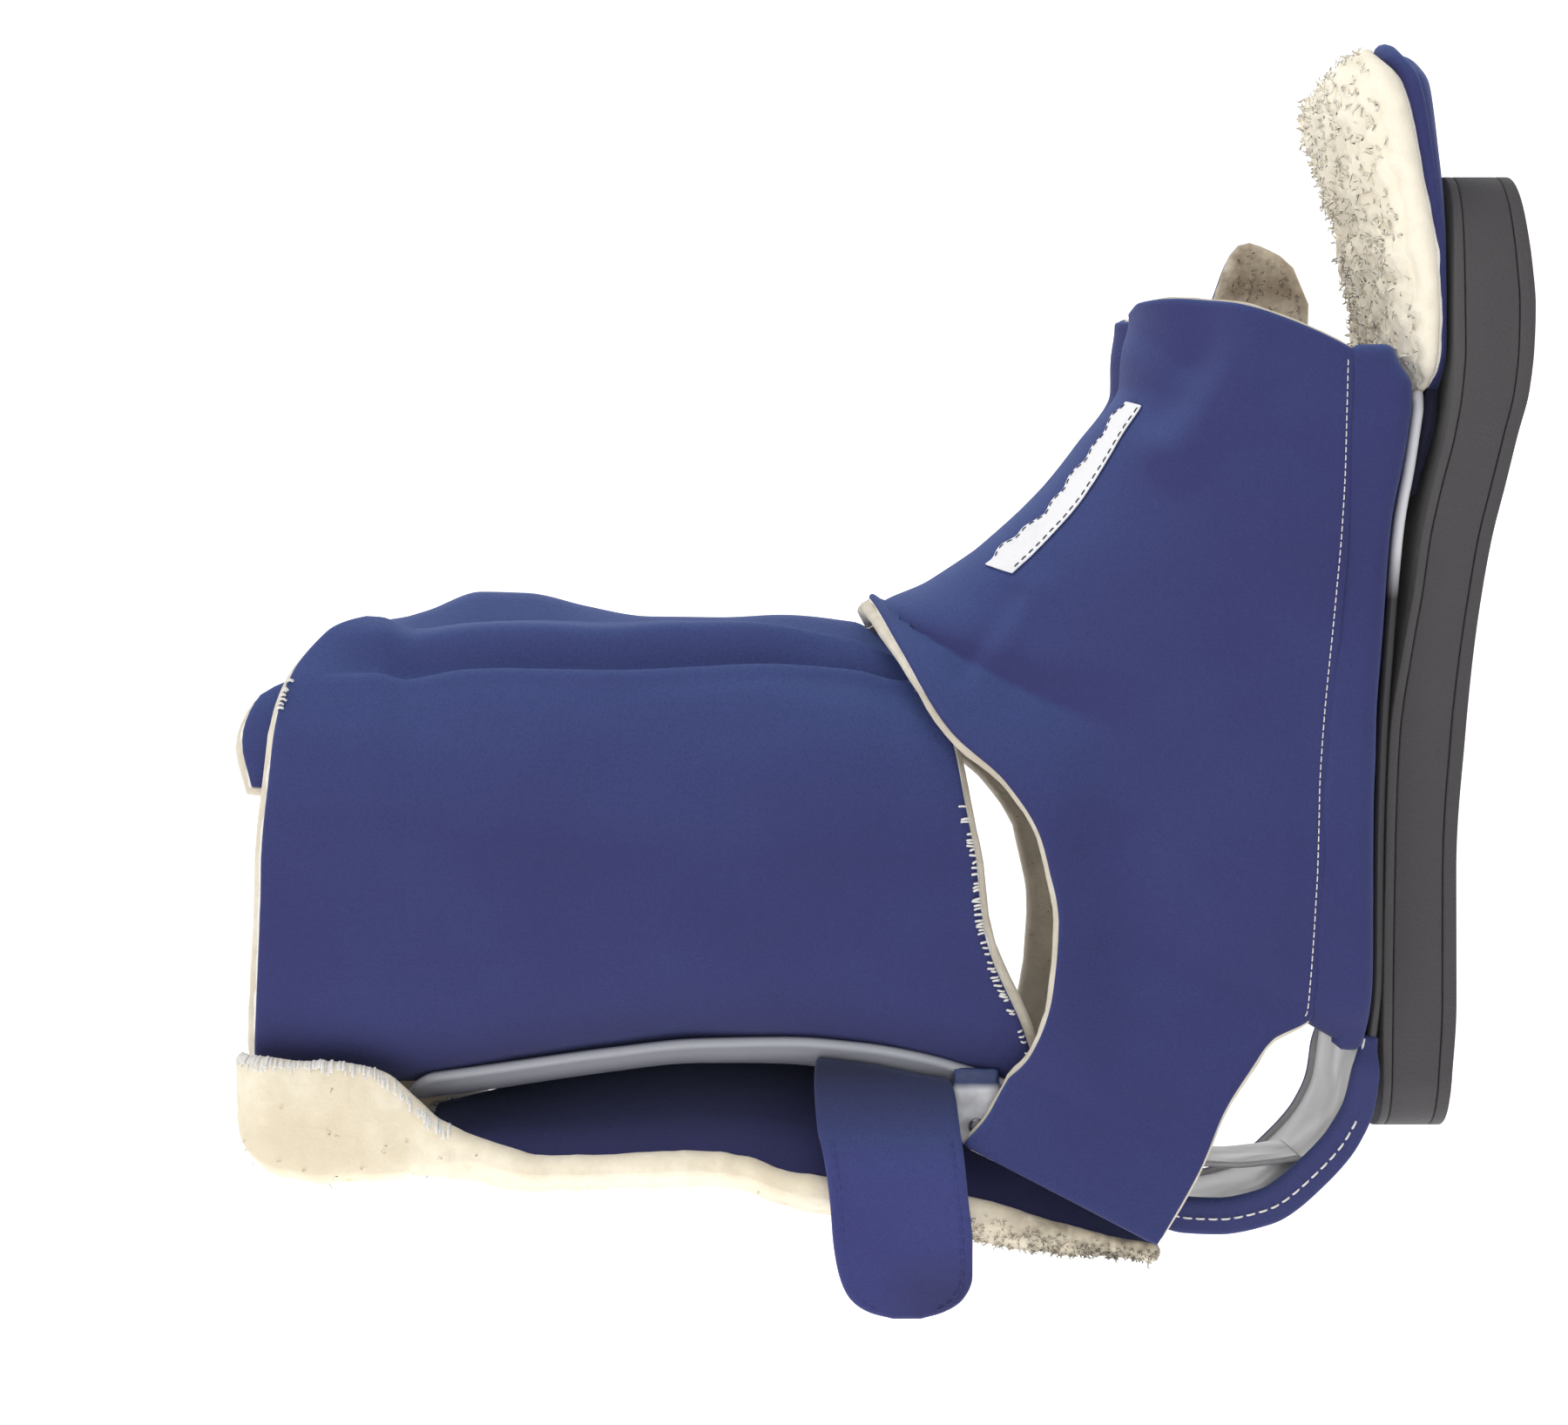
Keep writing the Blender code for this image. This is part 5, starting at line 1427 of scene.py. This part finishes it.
def make_strap(paint):
    place = spread(0, len(STRAP_ROWS) - 1, 90)[:, None]
    left = side_x(row_at(STRAP_ROWS, "left", place))
    right = row_at(STRAP_ROWS, "right", place) * LEG
    z = side_z(row_at(STRAP_ROWS, "z", place))
    y = -row_at(STRAP_ROWS, "out", place) * HALF
    x = left + (right - left) * spread(0.0, 1.0, 40)[None, :]
    y = y + 0.0 * x
    held = 1.0 - ease(place / (STRAP_ROOT * 1.5))
    under = -leg_under(x) * flank(x, 0.0 * x + STRAP_ROWS[0].out * HALF) - REST - PLATE - STRAP_DROP
    level = z + (under - z) * held
    inner = np.stack([x, y, level], axis=-1)
    outer = offset(inner, STRAP_THICK)
    soft = 0.0005 * noise(outer, 0.022, 17, 2)
    made = piece("hanging_strap", *shell(offset(outer, soft), offset(inner, soft), 4), paint["strap"])
    done(made, "navy_fabric", "strap")
    along = normals(inner)
    parts = []
    seam = offset(inner, STRAP_THICK + 0.0001)
    for column in (2, -3):
        parts += stitches(seam[26:-6, column], along[26:-6, column], 0.0019, 0.0012, THREAD * 0.8)
    sewn = piece("strap_stitches", *join(parts), paint["strap"], False)
    done(sewn, "navy_fabric")


def make_toe(paint):
    place = spread(0, len(TOE_ROWS) - 1, 150)[:, None]
    front = side_x(row_at(TOE_ROWS, "front", place))
    z = side_z(row_at(TOE_ROWS, "z", place))
    middle = row_at(TOE_ROWS, "middle", place) * FOOT
    back = row_at(TOE_ROWS, "back", place) * FOOT
    half = row_at(TOE_ROWS, "half", place) * HALF
    across = np.sin(np.radians(spread(-90.0, 90.0, 100)))[None, :]
    across = np.sign(across) * np.abs(across) ** 0.8
    full = (1.0 - (1.0 - TOE_EDGE) * np.abs(across) ** TOE_ROUND) ** (1.0 / TOE_ROUND)
    y = across * half
    level = z + 0.0 * y
    grids = []
    for x in (middle - (middle - front) * full, middle + 0.0 * y, middle + GAP + 0.0 * y, middle + GAP + (back - middle) * full):
        grids.append(np.stack([x, y, level], axis=-1))
    lump = 0.0012 * noise(grids[0], 0.0070, 18, 2) + 0.0010 * noise(grids[0], 0.0032, 19, 2)
    face = grids[0] - np.array((1.0, 0.0, 0.0)) * lump[..., None]
    fleece = piece("toe_fleece", *shell(face, grids[1], 5), paint["toe"])
    done(fleece, "cream_fleece", "toe_pad")
    grow = face if normals(face)[75, 50, 0] < 0 else face[:, ::-1]
    locks = piece("toe_pile", *curls(grow, 900, 0.0028, 0.00060, 37, None, 0.9), paint["toe_pile"], False)
    done(locks, "cream_fleece")
    cover_back = offset(grids[3], 0.0003 * noise(grids[3], 0.018, 20, 2))
    cover = piece("toe_back", *shell(grids[2], cover_back, 5), paint["navy"])
    done(cover, "navy_fabric", "toe_cover")
    rim = rim_of(150, 100)
    line = ((grids[1] + grids[2]) / 2.0)[rim[:, 0], rim[:, 1]]
    line = np.concatenate([line, line[:1]])
    trim = piece("toe_edge", *join([edge_trim(line, LOOP * 0.9, 58)]), paint["edge"], False)
    done(trim, "cream_fleece")
    place = spread(0, len(TONGUE_ROWS) - 1, 20)[:, None]
    z = side_z(row_at(TONGUE_ROWS, "z", place))
    y = spread(-1.0, 1.0, 20)[None, :] * TONGUE_HALF * HALF
    level = z + 0.0 * y
    near = np.stack([row_at(TONGUE_ROWS, "front", place) * FOOT + 0.0 * y, y + 0.0 * z, level], axis=-1)
    away = np.stack([row_at(TONGUE_ROWS, "back", place) * FOOT + 0.0 * y, y + 0.0 * z, level], axis=-1)
    tongue = piece("toe_tab", *shell(near, away, 3), paint["liner"])
    done(tongue, "navy_liner", "toe_tongue")


def make_sole(paint):
    plate = max(row.half for row in FRAME_ROWS if row.x > FOOTPLATE_FROM) * HALF
    place = spread(0, len(SOLE_ROWS) - 1, 150)[:, None]
    z = side_z(row_at(SOLE_ROWS, "z", place))
    near_x = side_x(row_at(SOLE_ROWS, "front", place))
    far_x = row_at(SOLE_ROWS, "back", place) * FOOT
    half = row_at(SOLE_ROWS, "half", place) * (plate + SOLE_OVER)
    across = spread(-1.0, 1.0, 26)[None, :]
    y = across * half
    level = z + 0.0 * y
    for name, start, end, _ in SOLE_LAYERS:
        slim = 0.0002 if name == "sole_middle" else 0.0
        front = near_x + (far_x - near_x) * start + (GAP if start > 0 else 0.0)
        back = near_x + (far_x - near_x) * end
        grids = [np.stack([x + 0.0 * y, y * (1.0 - slim / HALF), level], axis=-1) for x in (front, back)]
        if name == "sole_tread":
            rib = 0.0009 * np.clip(np.sin(level * 2.0 * np.pi / 0.0085) * 3.0, -1.0, 1.0)
            inset = np.clip((1.0 - np.abs(across)) / 0.12, 0.0, 1.0)
            grids[1] = grids[1] - np.array((1.0, 0.0, 0.0)) * ((rib + 0.0009) * inset)[..., None]
        made = piece("rubber_" + name, *shell(grids[0], grids[1], corner=0.0005), paint["rubber_top" if name == "sole_top" else "rubber"])
        done(made, "rubber_top" if name == "sole_top" else "rubber", name)


def make_clip(paint):
    left, top = CLIP_LEFT * LEG, CLIP_TOP * DROP
    right, low = CLIP_RIGHT * LEG, CLIP_LOW * DROP
    middle = (left + right) / 2.0
    radius = (right - left) / 2.0
    seat = float(read(FRAME_ROWS, "x", "half", np.array(CLIP_LEFT))) * HALF + GAP
    rows = []
    for z in np.concatenate([spread(top, low + radius, 18), low + radius - radius * np.sin(np.radians(spread(5.0, 88.0, 12)))]):
        over = max(0.0, low + radius - z)
        half = np.sqrt(max(radius**2 - over**2, 0.0)) + GAP * 0.5
        rows.append([(middle + s * half, -seat, z) for s in spread(-1.0, 1.0, 16)])
    inner = np.array(rows)
    lump = 0.0010 * noise(inner, 0.0040, 23, 2)
    outer = inner.copy()
    outer[..., 1] -= CLIP_THICK + lump
    made = piece("side_clip", *shell(outer, inner, 3), paint["clip"])
    done(made, "white_plastic", "clip")
    head = -seat - CLIP_THICK - GAP
    rings = []
    for share, reach in ((0.0, 1.0), (0.45, 1.0), (0.8, 0.86), (1.0, 0.6)):
        angle = np.arange(24) * 2.0 * np.pi / 24
        y = np.full(24, head - RIVET_HEIGHT * share)
        rings.append(np.stack([middle + RIVET_R * reach * np.cos(angle), y, low + radius + RIVET_R * reach * np.sin(angle)], axis=-1))
    points = np.concatenate(rings + [[(middle, head, low + radius)], [(middle, head - RIVET_HEIGHT * 0.9, low + radius)]])
    at = np.arange(96).reshape(4, 24)
    quads = np.stack([at[:-1], np.roll(at[:-1], -1, axis=1), np.roll(at[1:], -1, axis=1), at[1:]], axis=-1).reshape(-1, 4)
    caps = [np.stack([np.roll(at[0], -1), at[0], np.full(24, 96)], axis=-1), np.stack([at[-1], np.roll(at[-1], -1), np.full(24, 97)], axis=-1)]
    rivet = piece("side_rivet", points, [quads, np.concatenate(caps)], paint["steel"])
    done(rivet, "rivet_steel", "rivet")


def make_stage():
    mesh = bpy.data.meshes.new("floor")
    floor_z = -0.30
    line = [(y, floor_z) for y in (-4.0, -1.5, 0.5)]
    line += [(0.5 + 1.5 * np.sin(a), floor_z + 1.5 - 1.5 * np.cos(a)) for a in np.radians(spread(6.0, 90.0, 15))]
    line.append((2.0, 5.0))
    points = [(x, y, z) for x in (-5.0, 5.0) for y, z in line]
    count = len(line)
    faces = [(k, k + count, k + count + 1, k + 1) for k in range(count - 1)]
    mesh.from_pydata(points, [], faces)
    mesh.polygons.foreach_set("use_smooth", [True] * len(mesh.polygons))
    paint = bpy.data.materials.new("pale_floor")
    paint.use_nodes = True
    shader = paint.node_tree.nodes["Principled BSDF"]
    shader.inputs["Base Color"].default_value = (0.95, 0.95, 0.95, 1.0)
    shader.inputs["Roughness"].default_value = 0.9
    shader.inputs["Emission Color"].default_value = (1.0, 1.0, 1.0, 1.0)
    shader.inputs["Emission Strength"].default_value = 0.62
    mesh.materials.append(paint)
    floor = bpy.data.objects.new("floor", mesh)
    bpy.context.scene.collection.objects.link(floor)


def make_light(name, place, target, size, power, colour):
    light = bpy.data.lights.new(name, "AREA")
    light.shape = "RECTANGLE"
    light.size, light.size_y = size
    light.energy = power
    light.color = colour
    made = bpy.data.objects.new(name, light)
    bpy.context.scene.collection.objects.link(made)
    made.location = place
    away = np.array(place) - np.array(target)
    level = np.hypot(away[0], away[1])
    made.rotation_euler = (np.arctan2(level, away[2]), 0.0, np.arctan2(away[1], away[0]) + np.pi / 2.0)


def make_camera():
    lens = bpy.data.cameras.new("camera")
    lens.sensor_fit = "HORIZONTAL"
    lens.sensor_width = SENSOR
    lens.lens = PX * SENSOR / PHOTO_WIDTH
    lens.clip_start = 0.05
    camera = bpy.data.objects.new("camera", lens)
    bpy.context.scene.collection.objects.link(camera)
    camera.location = CAMERA_AT
    camera.rotation_euler = (np.pi / 2.0, 0.0, 0.0)
    bpy.context.scene.camera = camera


def make_world():
    world = bpy.data.worlds.new("studio")
    bpy.context.scene.world = world
    world.use_nodes = True
    back = world.node_tree.nodes["Background"]
    back.inputs["Color"].default_value = (1.0, 1.0, 1.0, 1.0)
    back.inputs["Strength"].default_value = 0.28


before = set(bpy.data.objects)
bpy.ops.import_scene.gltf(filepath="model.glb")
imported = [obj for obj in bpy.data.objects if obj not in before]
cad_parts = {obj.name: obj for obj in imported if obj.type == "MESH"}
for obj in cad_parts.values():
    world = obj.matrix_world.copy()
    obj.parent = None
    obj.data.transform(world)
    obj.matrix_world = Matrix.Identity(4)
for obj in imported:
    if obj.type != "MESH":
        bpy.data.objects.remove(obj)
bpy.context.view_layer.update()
make_camera()
make_world()
make_stage()
make_light("key", (-0.5, -0.5, 1.7), (-0.05, 0.0, 0.0), (1.6, 1.2), 15.0, (1.0, 1.0, 1.0))
make_light("left", (-1.7, -0.9, 0.8), (0.05, 0.0, 0.15), (1.4, 1.2), 7.0, (1.0, 0.99, 0.97))
make_light("front", (0.3, -2.2, 0.5), (-0.05, 0.0, 0.03), (1.8, 1.4), 6.0, (1.0, 0.99, 0.98))
paint = make_paints()
make_frame(paint)
make_leg(paint)
make_panels(paint)
make_label(paint)
make_sole_cover(paint)
make_heel_cover(paint)
make_fold(paint)
make_strap(paint)
make_toe(paint)
make_sole(paint)
make_clip(paint)
bpy.context.scene.view_settings.view_transform = "Standard"
